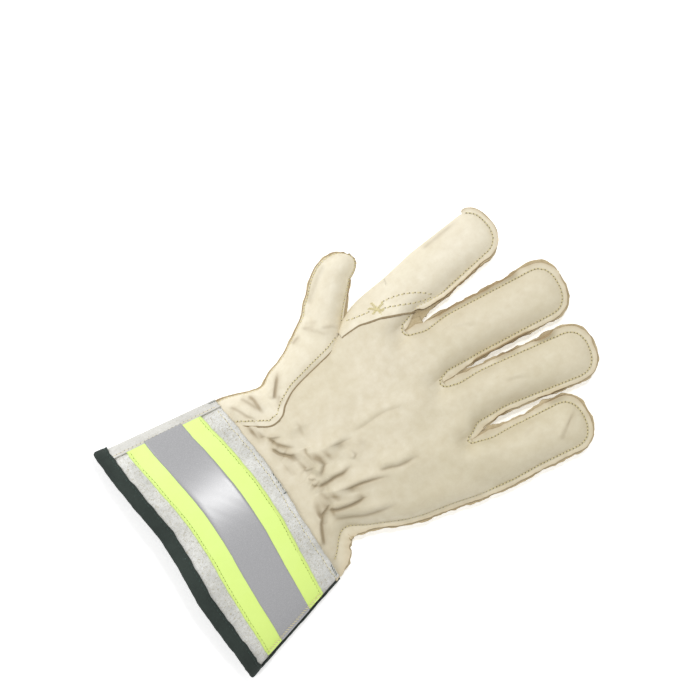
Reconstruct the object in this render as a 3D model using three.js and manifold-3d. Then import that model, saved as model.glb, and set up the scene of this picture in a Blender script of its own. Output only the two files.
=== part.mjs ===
// A right-hand leather work glove with a stiff canvas safety cuff, lying palm down.
// Millimetres. +X runs from the cuff to the fingertips, +Y to the thumb side and +Z up from the floor.
// The origin is on the underside of the palm patch, under the middle of the hand.
// One hollow leather skin is made first. Narrow saw cuts along the real seams then part it into its panels.

import * as THREE from "three";
import { mergeVertices } from "three/addons/utils/BufferGeometryUtils.js";
import Module from "manifold-3d";

const wasm = await Module();
wasm.setup();

// Driving sizes
const SEAM_HEIGHT = 11; // the seams round the fingers lie this far above the floor
const LEATHER = 1.5;
const CANVAS = 1.3;
const GAP = 0.35; // between two pieces that are sewn together
const PATCH = 1.3;
const BACK_FLANGE = 3.0; // raw edge of the upper leather outside the stitches
const FRONT_FLANGE = 4.4; // the lower leather stands out further
const FLANGE_LEATHER = 1.4;
const BINDING_DEPTH = 8.5;
const BINDING = 1.1;
const SIDE_BINDING = 0.9;
const TAPE = 0.5;
const TAPE_WIDTH = 50.4;
const SILVER_WIDTH = 26;
const TAPE_MIDDLE = 0.487; // of the way from the wrist to the mouth

const COLUMNS = 6; // across each finger, and four times that across the hand
const CAP_ROWS = 3; // rows that round off a fingertip
const TUBE_SIDES = 16;
const CUFF_SIDES = 36;

// A table of sizes with named columns
const table = (columns, rows) =>
  rows.map((row) => Object.fromEntries(columns.map((column, i) => [column, row[i]])));

// Cross-sections of the hand from the wrist (along 0) to the roots of the fingers (along 1).
// x, y: the seam on the little-finger side and the edge on the thumb side. top and bottom: height above and
// below the seams. peak: how sharply the back is rounded across.
const HAND_ROWS = table(
  ["along", "ulnar_x", "ulnar_y", "radial_x", "radial_y", "top", "bottom", "peak"],
  [
    [0, -60, -54.8, -60, 60, 13.8, 7.6, 1.1],
    [0.08, -50, -54, -48, 64.5, 12.7, 7.6, 1.05],
    [0.2, -35, -45.5, -35, 59, 12.8, 9.3, 0.95],
    [0.32, -21, -48.6, -20, 53, 15.5, 9.3, 0.85],
    [0.5, 3, -60.3, 2, 51, 17.5, 9.3, 0.8],
    [0.7, 28, -68, 27, 56, 17, 9.3, 0.8],
    [0.85, 43, -73, 50, 64, 14.5, 9.3, 0.8],
    [1, 57, -76.5, 75, 66, 11.5, 9.3, 0.8],
  ],
);
const HAND_STEPS = [0, 0.08, 0.14, 0.2, 0.26, 0.33, 0.41, 0.52, 0.64, 0.76, 0.87, 0.94, 1];
const RIM_STEPS = [0, 0.08, 0.2, 0.33, 0.52, 0.76, 1];

// The stitched ends of the slits between the fingers, from the little-finger side to the thumb side
const FORKS = [
  { x: 58.5, y: -43.5 },
  { x: 66, y: -6 },
  { x: 66, y: 33 },
];

// Axis of each finger in plan, half widths between its seams at the root, above the fork and at the tip,
// height of its crown above the seams, and how much wider its rim is at the thumb-side corner of the tip
const FINGERS = table(
  ["name", "base", "tip", "root", "middle", "end", "top", "corner"],
  [
    ["little", [60, -62], [121.5, -73.6], 15.5, 14.2, 14.4, 10.5, 3],
    ["ring", [64, -20.5], [149, -42], 13.4, 13, 14, 9.5, 3],
    ["middle", [67, 14.5], [157.3, 0], 15, 14.8, 14.8, 10, 3],
    ["index", [72, 51.5], [145.5, 54.5], 14, 13.6, 13, 10.5, 0],
  ],
);
const FINGER_BOTTOM = SEAM_HEIGHT - 1.2;
const ROUND_TIP = 12; // length of the rounded end
const SPREAD = 20; // distance over which a slit opens
const WEB = 3; // leather between the hollows of two fingers, behind the slit

// Axis of the thumb from inside the hand to its tip
const THUMB_ROWS = table(
  ["x", "y", "half", "top", "bottom"],
  [
    [-38, 36, 11, 6, 6],
    [-20, 43, 13.5, 11, 9],
    [-2, 48.5, 14.2, 12, 9.2],
    [14, 56, 13.8, 11.5, 9.2],
    [28, 66, 11.8, 10.5, 9],
    [42, 78, 10.8, 10, 8.5],
    [55, 89, 10.4, 9, 8],
  ],
);
const THUMB_TIP = { x: 63.5, y: 96 };

// Folds and gathers of the back, drawn in by the elastic across the wrist. A negative height is a valley.
const FOLDS = table(
  ["x0", "y0", "x1", "y1", "half", "height"],
  [
    [-39, 22, -12, 17, 4, -2.2],
    [-38, 9, -2, 12, 4.2, 2],
    [-40, 1, -14, 2, 3.6, -2.4],
    [-40, -8, 4, 3, 4.4, 2.2],
    [-40, -16, -8, -13, 3.6, -2.6],
    [-39, -24, 6, -16, 4.2, 2.2],
    [-40, -31, -6, -28, 3.4, -2.4],
    [-38, -38, 4, -37, 3.8, 1.8],
    [49, 25, 50, -42, 6, -1.2],
    [12, -24, 38, -33, 5, -1.2],
  ],
);
const ELASTIC = { x: -37, half: 5, depth: 1.6 }; // the drawn-in line across the back

// The seam on the upper side, from under the cuff past the thumb to the slit beside the index finger
const BACK_SEAM = [
  [-70, 47], [-49, 46], [-38, 38.3], [-28, 35.8], [-18.7, 40.6], [-7.3, 45.6], [6.6, 48], [21.8, 48.3],
  [34.8, 53.3], [47.4, 52.9], [58.9, 48], [71.8, 42.1], [79, 36.8], [85, 33.2], [94, 32],
];
const CROTCH_OUT = [[34.8, 53.3], [38.5, 57], [45, 62.5], [51.5, 66.8], [64.5, 77.5], [76, 88]];
// Seams on the palm side
const THUMB_STRIP_SEAM = [[-70, 30], [-46, 31], [-20, 34], [6, 41], [24, 49], [34.8, 53.3], [38.5, 57]];
const FINGER_FRONT_SEAM = [
  [94, 32], [78, 32.8], [66, 33], [62, 31], [60.5, 14], [59, -6], [56, -26], [54, -41], [57, -43.5],
  [68, -43.8], [84, -44.8], [100, -48], [112, -51], [124, -54.5], [135, -58],
];

// The cuff: half width between its edges, its height above and below its side seam, and how far
// each end curves toward the fingers in the middle (bow)
const CUFF = {
  wrist: { x: -52.4, y: 3.7, half: 65.3, top: 14.2, bottom: 9.3, side: 11, bow: 4.6 },
  mouth: { x: -129.6, y: 4, half: 81.5, top: 22, bottom: 12.3, side: 14, bow: 0.6 },
  slant: 0.031, // how far the edges lean, per millimetre across
};
const WRAP = 8; // the lower canvas comes round the thumb side this far onto the back

const PALM_PATCH = [
  [-46, 24], [-46, -18], [-34, -26], [-8, -32], [22, -30], [44, -14],
  [52, 8], [50, 34], [40, 44], [28, 44], [10, 36], [-14, 29],
];
const WRIST_PATCH = { x: -43, y: 0.5, length: 40, half: 46, edge: -47.5 };

const smooth = (t) => {
  const c = Math.min(1, Math.max(0, t));
  return c * c * (3 - 2 * c);
};
const mix = (a, b, t) => a + (b - a) * t;

// A column of a table at a value of "along", on a smooth curve through the rows
function sample(rows, column, along) {
  let i = 0;
  while (i < rows.length - 2 && along > rows[i + 1].along) i += 1;
  const at = (k) => rows[Math.min(rows.length - 1, Math.max(0, k))];
  const [p, q] = [at(i), at(i + 1)];
  const span = q.along - p.along;
  const slope = (k) => {
    const [before, after] = [at(k - 1), at(k + 1)];
    return (after[column] - before[column]) / (after.along - before.along);
  };
  const t = (along - p.along) / span;
  const [t2, t3] = [t * t, t * t * t];
  return (
    (2 * t3 - 3 * t2 + 1) * p[column] +
    (t3 - 2 * t2 + t) * span * slope(i) +
    (-2 * t3 + 3 * t2) * q[column] +
    (t3 - t2) * span * slope(i + 1)
  );
}

// A solid from the corners and triangles of its surface, with its faces outward
function manifoldOf(corners, triangles) {
  const vertProperties = new Float32Array(corners);
  const made = (order) =>
    new wasm.Manifold(new wasm.Mesh({ numProp: 3, vertProperties, triVerts: new Uint32Array(order) }));
  const solid = made(triangles);
  return solid.volume() > 0 ? solid : made(Array.from(triangles).reverse());
}

// A closed surface out of sheets, which are grids of points. Each pair of rows is joined by triangles.
// flip turns a sheet's faces the other way.
function surfaceOf(sheets) {
  const corners = [];
  for (const { rows, flip } of sheets)
    for (let i = 0; i + 1 < rows.length; i += 1)
      for (let k = 0; k + 1 < rows[i].length; k += 1) {
        const [a, b, c, d] = [rows[i][k], rows[i + 1][k], rows[i + 1][k + 1], rows[i][k + 1]];
        corners.push(...(flip ? [a, c, b, a, d, c] : [a, b, c, a, c, d]));
      }
  const loose = new THREE.BufferGeometry().setAttribute(
    "position",
    new THREE.Float32BufferAttribute(corners.flat(), 3),
  );
  const surface = mergeVertices(loose, 1e-3);
  const index = surface.index.array;
  const triangles = [];
  for (let i = 0; i < index.length; i += 3) {
    const [a, b, c] = [index[i], index[i + 1], index[i + 2]];
    if (a !== b && b !== c && c !== a) triangles.push(a, b, c);
  }
  surface.setIndex(triangles);
  return surface;
}

const solidOf = (surface) => manifoldOf(surface.attributes.position.array, surface.index.array);

// The hollow inside a surface: each corner moves in along its normal. Corners at the open end move out past
// it, and the ends of the slits between the fingers move straight back.
function hollowOf(surface, thickness, openAt) {
  const inner = surface.clone();
  inner.computeVertexNormals();
  const inward = solidSign(surface);
  const at = inner.attributes.position;
  const normal = inner.attributes.normal;
  for (let i = 0; i < at.count; i += 1) {
    if (FORKS.some((f) => Math.hypot(at.getX(i) - f.x, at.getY(i) - f.y) < 0.01)) {
      at.setX(i, at.getX(i) - WEB);
      continue;
    }
    const open = at.getX(i) < openAt + 0.01;
    const step = inward * thickness * (open ? 1.5 : 1);
    const x = open ? openAt - 6 : at.getX(i) + normal.getX(i) * step;
    at.setXYZ(i, x, at.getY(i) + normal.getY(i) * step, at.getZ(i) + normal.getZ(i) * step);
  }
  return solidOf(inner);
}

// -1 where the triangles of a surface face outward, and 1 where they face inward
function solidSign(surface) {
  const at = surface.attributes.position;
  const index = surface.index.array;
  const [a, b, c] = [new THREE.Vector3(), new THREE.Vector3(), new THREE.Vector3()];
  let volume = 0;
  for (let i = 0; i < index.length; i += 3) {
    a.fromBufferAttribute(at, index[i]);
    b.fromBufferAttribute(at, index[i + 1]);
    c.fromBufferAttribute(at, index[i + 2]);
    volume += a.dot(b.cross(c));
  }
  return volume > 0 ? -1 : 1;
}

// A solid from an outline in plan between two heights
function prism(outline, low, high) {
  const shape = new THREE.Shape(outline.map(([x, y]) => new THREE.Vector2(x, y)));
  const geometry = new THREE.ExtrudeGeometry(shape, { depth: high - low, bevelEnabled: false });
  geometry.translate(0, 0, low);
  geometry.deleteAttribute("normal");
  geometry.deleteAttribute("uv");
  const merged = mergeVertices(geometry, 1e-3);
  return manifoldOf(merged.attributes.position.array, merged.index.array);
}

// A saw cut of the width GAP that follows a line in plan between two heights
function sawCut(line, low, high) {
  const points = line.map(([x, y]) => new THREE.Vector2(x, y));
  const side = (sign) =>
    points.map((p, i) => {
      const before = points[Math.max(0, i - 1)];
      const after = points[Math.min(points.length - 1, i + 1)];
      const along = after.clone().sub(before).normalize();
      return [p.x - (sign * along.y * GAP) / 2, p.y + (sign * along.x * GAP) / 2];
    });
  return prism([...side(-1), ...side(1).reverse()], low, high);
}

const knuckles = [
  { x: HAND_ROWS.at(-1).ulnar_x, y: HAND_ROWS.at(-1).ulnar_y },
  ...FORKS,
  { x: HAND_ROWS.at(-1).radial_x, y: HAND_ROWS.at(-1).radial_y },
];

// The columns of the grid across one finger, from -1 to 1, closer together at its sides
const ACROSS = Array.from({ length: COLUMNS + 1 }, (_, k) => -Math.cos((Math.PI * k) / COLUMNS));
const RIM_ACROSS = [-1, -0.95, 0, 0.95, 1];
const arch = (v) => Math.max(0, 1 - v * v) ** 0.55;
const flatArch = (v) => Math.max(0, 1 - v ** 6) ** 0.5;

// How far the folds raise or lower the back at a point
function foldHeight(x, y) {
  let height = -ELASTIC.depth * Math.exp(-(((x - ELASTIC.x) / ELASTIC.half) ** 2));
  for (const f of FOLDS) {
    const [dx, dy] = [f.x1 - f.x0, f.y1 - f.y0];
    const t = ((x - f.x0) * dx + (y - f.y0) * dy) / (dx * dx + dy * dy);
    const near = Math.min(1, Math.max(0, t));
    const off = Math.hypot(x - f.x0 - near * dx, y - f.y0 - near * dy);
    height += f.height * Math.exp(-((off / f.half) ** 2)) * (1 - 0.6 * near);
  }
  return height;
}

// The sheets of the glove without its thumb: first those of the hand, then those of each finger. With a leaf
// they are those of the thin flat rim at the seams: leaf gives its height above and below them, and grow how
// far it stands out.
function handSheets({ grow = 0, leaf = null }) {
  const rise = (top) => (leaf ? leaf.up : top);
  const fall = (bottom) => (leaf ? leaf.down : bottom);
  const flat = (v) => (Math.abs(v) > 0.999 ? 0 : 1);
  const crown = leaf ? flat : arch;
  const belly = leaf ? flat : flatArch;
  const across = leaf ? RIM_ACROSS : ACROSS;
  const count = across.length - 1;
  const columns = FINGERS.length * count;

  // A point between the forks on either side of a finger
  const knuckle = (finger, v) => {
    const [p, q] = [knuckles[finger], knuckles[finger + 1]];
    const t = (v + 1) / 2;
    return { x: mix(p.x, q.x, t), y: mix(finger === 0 ? p.y - grow : p.y, q.y, t) };
  };
  // The index finger is folded round on the thumb side, so there is no rim along that edge of the hand
  const edges = (s) => ({
    u: { x: sample(HAND_ROWS, "ulnar_x", s), y: sample(HAND_ROWS, "ulnar_y", s) - grow },
    r: { x: sample(HAND_ROWS, "radial_x", s), y: sample(HAND_ROWS, "radial_y", s) },
  });
  const end = edges(1);

  const handTop = [];
  const handBottom = [];
  for (const s of leaf ? RIM_STEPS : HAND_STEPS) {
    const { u, r } = edges(s);
    const pull = s ** 3;
    const parted = smooth((s - 0.62) / 0.38) ** 1.6;
    const crownHeight = rise(sample(HAND_ROWS, "top", s));
    const depth = fall(sample(HAND_ROWS, "bottom", s));
    const peak = sample(HAND_ROWS, "peak", s);
    const upper = [];
    const lower = [];
    for (let k = 0; k <= columns; k += 1) {
      const finger = Math.min(FINGERS.length - 1, Math.floor(k / count));
      const v = across[k - finger * count];
      const beside = leaf && (k === 1 || k === columns - 1);
      const w = beside ? Math.sign(k - 2) * 0.97 : (2 * k) / columns - 1;
      const spread = mix(Math.sin((Math.PI * w) / 2), w, smooth(s));
      const t = (spread + 1) / 2;
      const kn = knuckle(finger, v);
      const x = mix(u.x, r.x, t) + pull * (kn.x - mix(end.u.x, end.r.x, t));
      const y = mix(u.y, r.y, t) + pull * (kn.y - mix(end.u.y, end.r.y, t));
      const rim = Math.min(1, 4 * (1 - Math.abs(spread)));
      const creased = leaf ? 0 : foldHeight(x, y) * rim * (1 - s ** 6);
      const onHand = crownHeight * crown(spread) ** peak + creased;
      const high = mix(onHand, rise(FINGERS[finger].top) * crown(v), parted);
      const low = mix(depth * belly(spread), fall(FINGER_BOTTOM) * belly(v), parted);
      upper.push([x, y, SEAM_HEIGHT + high]);
      lower.push([x, y, SEAM_HEIGHT - low]);
    }
    handTop.push(upper);
    handBottom.push(lower);
  }
  const fingers = FINGERS.map((f, finger) => {
    const base = new THREE.Vector2(...f.base);
    const axis = new THREE.Vector2(...f.tip).sub(base);
    const capStart = axis.length() - ROUND_TIP;
    const length = axis.length() + grow;
    axis.normalize();
    const normal = new THREE.Vector2(-axis.y, axis.x);
    // How far the rim stands out beside the finger, at the distance a from its root
    const growAt = (v, a) => {
      const fromFork = grow * smooth(a / 4);
      if (v < 0) return finger === 0 ? grow : fromFork;
      if (finger === FINGERS.length - 1) return grow * smooth((a - capStart + 2) / 14);
      return fromFork + (grow > BACK_FLANGE ? f.corner * smooth((a - capStart + 20) / 18) : 0);
    };
    const stops = leaf
      ? [0, 4, 10, SPREAD, capStart - 16, capStart]
      : [0, 4, 10, SPREAD, mix(SPREAD, capStart, 0.4), mix(SPREAD, capStart, 0.75), capStart];
    for (let i = 1; i <= CAP_ROWS; i += 1)
      stops.push(capStart + (length - capStart) * Math.sin((Math.PI * i) / (2 * CAP_ROWS)));
    const upper = [];
    const lower = [];
    for (const a of stops) {
      const beyond = Math.max(0, a - capStart) / (length - capStart);
      const cap = beyond > 0.9999 ? 0 : Math.sqrt(1 - beyond ** 2);
      const opened = smooth(a / SPREAD);
      const toEnd = (a - 26) / (capStart - 26);
      const wide = a < 26 ? mix(f.root, f.middle, a / 26) : mix(f.middle, f.end, toEnd);
      const above = [];
      const below = [];
      for (const v of across) {
        const kn = knuckle(finger, v);
        const aside = v * (wide + growAt(v, a)) * cap;
        const onAxis = base.clone().addScaledVector(axis, a).addScaledVector(normal, aside);
        const atRoot = base.clone().addScaledVector(normal, v * (f.root + growAt(v, 0)));
        const x = onAxis.x + (kn.x - atRoot.x) * (1 - opened);
        const y = onAxis.y + (kn.y - atRoot.y) * (1 - opened);
        above.push([x, y, SEAM_HEIGHT + rise(f.top) * crown(v) * cap ** 0.8]);
        below.push([x, y, SEAM_HEIGHT - fall(FINGER_BOTTOM) * belly(v) * cap ** 0.6]);
      }
      upper.push(above);
      lower.push(below);
    }
    return { upper, lower };
  });
  return [{ upper: handTop, lower: handBottom }, ...fingers];
}

const skinSheets = ({ upper, lower }) => [
  { rows: upper, flip: true },
  { rows: lower, flip: false },
];
const startCap = ({ upper, lower }) => ({ rows: [upper[0], lower[0]], flip: false });
const endCap = ({ upper, lower }) => ({ rows: [lower.at(-1), upper.at(-1)], flip: false });

// The outer surface of the hand and its fingers, closed at the wrist
function handSurface() {
  const parts = handSheets({});
  return surfaceOf([...parts.flatMap(skinSheets), startCap(parts[0])]);
}

// The flat rim round the hand and its fingers
function handRim(grow, leaf) {
  const [palm, ...fingers] = handSheets({ grow, leaf });
  const start = solidOf(surfaceOf([...skinSheets(palm), startCap(palm), endCap(palm)]));
  return fingers.reduce((all, f) => all.add(solidOf(surfaceOf([...skinSheets(f), startCap(f)]))), start);
}

// The thumb as a closed tube round its axis. leaf makes the flat rim at its seams instead.
function thumbSolid({ grow = 0, leaf = null }) {
  const stations = THUMB_ROWS.map((r) => ({ ...r, cap: 1 }));
  const last = THUMB_ROWS.at(-1);
  for (let i = 1; i <= CAP_ROWS; i += 1) {
    const turn = (Math.PI * i) / (2 * CAP_ROWS);
    stations.push({
      ...last,
      x: mix(last.x, THUMB_TIP.x, Math.sin(turn)),
      y: mix(last.y, THUMB_TIP.y, Math.sin(turn)),
      cap: Math.cos(turn),
    });
  }
  const tip = new THREE.Vector2(THUMB_TIP.x - last.x, THUMB_TIP.y - last.y);
  const rings = stations.map((r, i) => {
    const before = stations[Math.max(0, i - 1)];
    const after = stations[Math.min(stations.length - 1, i + 1)];
    const axis = new THREE.Vector2(after.x - before.x, after.y - before.y).normalize();
    const stretch = (grow * (1 - r.cap)) / tip.length();
    const [cx, cy] = [r.x + tip.x * stretch, r.y + tip.y * stretch];
    const cap = Math.max(0, r.cap) < 1e-6 ? 0 : r.cap;
    return Array.from({ length: TUBE_SIDES + 1 }, (_, k) => {
      const turn = (2 * Math.PI * (k % TUBE_SIDES)) / TUBE_SIDES;
      const side = Math.cos(turn) * (r.half + grow) * cap;
      const up = Math.sin(turn);
      const [above, below] = leaf ? [leaf.up, leaf.down] : [r.top + grow, r.bottom + grow];
      const height = up >= 0 ? above * up : -below * Math.abs(up) ** 0.75;
      return [cx - axis.y * side, cy + axis.x * side, SEAM_HEIGHT + height * cap];
    });
  });
  const first = rings[0];
  const centre = [THUMB_ROWS[0].x, THUMB_ROWS[0].y, SEAM_HEIGHT];
  return solidOf(surfaceOf([{ rows: [first.map(() => centre), ...rings], flip: false }]));
}

// A point round the cuff's wall. along runs from 0 at the wrist to 1 at the mouth, and turn goes round it.
function cuffPoint(along, turn, grow) {
  const { wrist, mouth, slant } = CUFF;
  const value = (key) => mix(wrist[key], mouth[key], along);
  const [c, s] = [Math.cos(turn), Math.sin(turn)];
  const y = value("y") + (value("half") + grow) * c;
  const tall = s >= 0 ? value("top") + grow : value("bottom") + grow;
  const shape = s >= 0 ? s ** 1.1 : -(Math.abs(s) ** 0.35);
  const x = value("x") + slant * (y - value("y")) + value("bow") * (1 - c * c) * (s >= 0 ? 1 : 0.6);
  return [x, y, value("side") + tall * shape];
}

// The space inside the cuff's wall, moved outward by grow, between two places along it
function cuffSolid(grow, from, to) {
  const rings = [from, to].map((along) =>
    Array.from({ length: CUFF_SIDES + 1 }, (_, k) =>
      cuffPoint(along, (2 * Math.PI * (k % CUFF_SIDES)) / CUFF_SIDES, grow),
    ),
  );
  const middle = (ring) => {
    const [a, b] = [ring[0], ring[CUFF_SIDES / 2]];
    return ring.map(() => [(a[0] + b[0]) / 2, (a[1] + b[1]) / 2, (a[2] + b[2]) / 2]);
  };
  return solidOf(surfaceOf([{ rows: [middle(rings[0]), ...rings, middle(rings[1])], flip: false }]));
}

const cuffLength = CUFF.wrist.x - CUFF.mouth.x;

// A band of the cuff in plan, between two places along it and two places across its upper half
function cuffBand(from, to, turnFrom, turnTo, low, high) {
  const steps = 12;
  const edge = (along) =>
    Array.from({ length: steps + 1 }, (_, i) => {
      const [x, y] = cuffPoint(along, mix(turnFrom, turnTo, i / steps), 0);
      return [x, y];
    });
  return prism([...edge(from), ...edge(to).reverse()], low, high);
}

// The body of a solid, out of those that a cut leaves, whose box holds the point
function bodyAt(bodies, x, y, z, taken) {
  const found = bodies
    .filter((b) => !taken.has(b))
    .filter((b) => {
      const { min, max } = b.boundingBox();
      return x > min[0] && x < max[0] && y > min[1] && y < max[1] && z > min[2] && z < max[2];
    })
    .sort((a, b) => b.volume() - a.volume())[0];
  if (!found) throw new Error(`no piece at ${x}, ${y}, ${z}`);
  taken.add(found);
  return found;
}

const glove = new THREE.Group();

function addPiece(name, solid, material) {
  const mesh = solid.getMesh();
  const geometry = new THREE.BufferGeometry();
  geometry.setAttribute("position", new THREE.Float32BufferAttribute(mesh.vertProperties, 3));
  geometry.setIndex(Array.from(mesh.triVerts));
  geometry.computeVertexNormals();
  const made = new THREE.Mesh(geometry, material);
  made.name = name;
  glove.add(made);
}

const grainLeather = new THREE.MeshStandardMaterial({ color: 0xe6dcc4, roughness: 0.6, metalness: 0 });
const splitLeather = new THREE.MeshStandardMaterial({ color: 0xd8c79c, roughness: 0.75, metalness: 0 });
const canvas = new THREE.MeshStandardMaterial({ color: 0xdedcd8, roughness: 0.9, metalness: 0 });
const binding = new THREE.MeshStandardMaterial({ color: 0x26302b, roughness: 0.9, metalness: 0 });
const limeTape = new THREE.MeshStandardMaterial({ color: 0xd9f26a, roughness: 0.6, metalness: 0 });
const silverTape = new THREE.MeshStandardMaterial({ color: 0xb4b5b8, roughness: 0.35, metalness: 0.4 });

// The leather skin with its rims, hollow and open at the wrist
const upperLeaf = { up: FLANGE_LEATHER, down: 0.05 };
const lowerLeaf = { up: 0.05, down: FLANGE_LEATHER };
const rims = handRim(BACK_FLANGE, upperLeaf)
  .add(handRim(FRONT_FLANGE, lowerLeaf))
  .add(thumbSolid({ grow: 1.6, leaf: upperLeaf }))
  .add(thumbSolid({ grow: 2.4, leaf: lowerLeaf }));
const hand = handSurface();
const outside = solidOf(hand).add(thumbSolid({}));
const handHollow = hollowOf(hand, LEATHER, HAND_ROWS[0].ulnar_x);
const hollow = handHollow.add(thumbSolid({ grow: -LEATHER }));
const skin = outside.add(rims).subtract(hollow);

// The seams part it: round the fingers, across the back, beside the thumb and at the finger fronts
const aroundIndex = [[200, 80], [150, 80], [141, 69.5], [136, 58], [128, 48], [88, 46], [60, 42]];
const roundSeam = prism(
  [[-80, -110], [200, -110], ...aroundIndex, ...CROTCH_OUT, [90, 120], [-80, 120]],
  SEAM_HEIGHT - GAP / 2,
  SEAM_HEIGHT + GAP / 2,
);
const seams = roundSeam
  .add(sawCut(BACK_SEAM, SEAM_HEIGHT - GAP / 2, 60))
  .add(sawCut(CROTCH_OUT, -5, 60))
  .add(sawCut(THUMB_STRIP_SEAM, -5, SEAM_HEIGHT + GAP / 2))
  .add(sawCut(FINGER_FRONT_SEAM, -5, SEAM_HEIGHT + GAP / 2));
const panels = skin.subtract(seams).decompose();
const taken = new Set();
addPiece("back_panel", bodyAt(panels, 20, 0, 26, taken), grainLeather);
addPiece("palm_panel", bodyAt(panels, 20, 0, 5, taken), grainLeather);
addPiece("finger_fronts", bodyAt(panels, 110, 0, 5, taken), grainLeather);
addPiece("thumb_back", bodyAt(panels, 45, 80, 16, taken), grainLeather);
addPiece("thumb_front", bodyAt(panels, 45, 80, 6, taken), grainLeather);
addPiece("palm_patch", prism(PALM_PATCH, 0, PATCH), splitLeather);

// The cuff: an upper and a lower canvas, sewn at their edges, which go over the leather at the wrist
const cuffWall = cuffSolid(0, 0, 1).subtract(cuffSolid(-CANVAS, -0.05, 1.05));
const wrapTurn = Math.acos(1 - WRAP / CUFF.mouth.half);
const planLine = (turn, stops) => stops.map((along) => cuffPoint(along, turn, 0).slice(0, 2));
const littleFingerSide = [[-160, -120], [0, -120], [0, -30], [-160, -30]];
const cuffPanels = cuffWall
  .subtract(sawCut(planLine(wrapTurn, [-0.1, 0.35, 0.7, 1.1]), CUFF.wrist.side, 80))
  .subtract(prism(littleFingerSide, CUFF.wrist.side - GAP / 2, CUFF.wrist.side + GAP / 2))
  .decompose();
const takenCanvas = new Set();
addPiece("cuff_back", bodyAt(cuffPanels, -90, 0, 28, takenCanvas), canvas);
addPiece("cuff_palm", bodyAt(cuffPanels, -90, 0, 5, takenCanvas), canvas);

// The folded tape that binds the mouth
const bindingFrom = 1 - BINDING_DEPTH / cuffLength;
const mouthEnd = 1 + (BINDING + GAP) / cuffLength;
const slot = cuffSolid(GAP, bindingFrom - 0.05, 1 + GAP / cuffLength)
  .subtract(cuffSolid(-CANVAS - GAP, -0.1, 1.2));
const fold = cuffSolid(BINDING + GAP, bindingFrom, mouthEnd)
  .subtract(cuffSolid(-CANVAS - BINDING - GAP, bindingFrom - 0.05, mouthEnd + 0.05))
  .subtract(slot);
addPiece("cuff_binding", fold, binding);

// The reflective tape over the back of the cuff, and its silver stripe
const layer = (inner, outer) => cuffSolid(outer, 0.02, 0.98).subtract(cuffSolid(inner, 0, 1));
function tapeBand(width, inset, inner) {
  const half = width / 2 / cuffLength;
  const [from, to] = [wrapTurn + inset, Math.PI - 0.19 - inset];
  const band = cuffBand(TAPE_MIDDLE - half, TAPE_MIDDLE + half, from, to, 15, 80);
  return layer(inner, inner + TAPE).intersect(band);
}
addPiece("reflective_tape", tapeBand(TAPE_WIDTH, 0.02, GAP), limeTape);
addPiece("silver_stripe", tapeBand(SILVER_WIDTH, 0.05, 2 * GAP + TAPE), silverTape);

// The narrow folded tape down the seam on the little-finger side
const sideLine = planLine(Math.PI, [0, 0.3, 0.6, bindingFrom - GAP / cuffLength]);
const sideOffset = (distance) => sideLine.map(([x, y]) => [x, y + distance]);
const sideStrip = [...sideOffset(1.1), ...sideOffset(-4).reverse()];
addPiece(
  "side_binding",
  cuffSolid(GAP + SIDE_BINDING, 0.01, 0.99)
    .subtract(cuffSolid(GAP, 0, 1))
    .intersect(prism(sideStrip, CUFF.wrist.side - 5, CUFF.wrist.side + 8)),
  binding,
);

// The half-round leather at the heel of the palm, over the lower canvas
const arc = Array.from({ length: 15 }, (_, i) => {
  const turn = (Math.PI * (i + 1)) / 16;
  const { x, y, length, half } = WRIST_PATCH;
  return [x - length * Math.sin(turn), y + half * Math.cos(turn)];
});
const heel = [[WRIST_PATCH.edge, 47], ...arc, [WRIST_PATCH.edge, -45.5]].reverse();
addPiece("wrist_patch", prism(heel, 0, PATCH), splitLeather);

export default glove;
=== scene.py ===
"""A right-hand leather work glove with a stiff safety cuff, lying palm down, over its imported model."""

import bmesh
import bpy
import numpy as np
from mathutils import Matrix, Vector
from numpy.linalg import norm


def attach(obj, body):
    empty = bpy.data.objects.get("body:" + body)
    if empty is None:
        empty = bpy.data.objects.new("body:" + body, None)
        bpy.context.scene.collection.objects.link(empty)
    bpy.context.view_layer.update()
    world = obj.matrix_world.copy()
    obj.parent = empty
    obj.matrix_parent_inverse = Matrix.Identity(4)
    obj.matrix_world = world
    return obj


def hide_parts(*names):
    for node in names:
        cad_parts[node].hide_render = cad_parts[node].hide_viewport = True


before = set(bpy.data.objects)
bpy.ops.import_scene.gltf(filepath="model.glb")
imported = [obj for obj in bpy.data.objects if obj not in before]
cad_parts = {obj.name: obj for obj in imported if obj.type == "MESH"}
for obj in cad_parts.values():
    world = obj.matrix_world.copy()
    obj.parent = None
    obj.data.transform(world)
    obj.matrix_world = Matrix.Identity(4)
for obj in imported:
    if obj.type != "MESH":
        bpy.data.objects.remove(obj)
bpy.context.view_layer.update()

# The stage: a pale floor under soft light from above, and a long lens that looks straight down on the
# glove. The camera is turned so that the glove lies at the angle at which it was photographed.
VIEW_CENTRE = (0.0328, 0.0435)
VIEW_SIDE = 0.4235
VIEW_TURN = np.radians(-37.0)
CAMERA_HEIGHT = 3.2
FLOOR_REACH = 6.0
FLOOR_DROP = 0.0002
HAND_MIDDLE = (0.0, 0.0, 0.015)
ROOM_LIGHT = 0.56
FLOOR_GLOW = 0.4

scene = bpy.context.scene
scene.view_settings.view_transform = "Standard"
camera_data = bpy.data.cameras.new("camera")
camera_data.sensor_width = 36.0
camera_data.lens = camera_data.sensor_width * CAMERA_HEIGHT / VIEW_SIDE
camera = bpy.data.objects.new("camera", camera_data)
camera.location = (*VIEW_CENTRE, CAMERA_HEIGHT)
camera.rotation_euler = (0.0, 0.0, VIEW_TURN)
scene.collection.objects.link(camera)
scene.camera = camera


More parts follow.
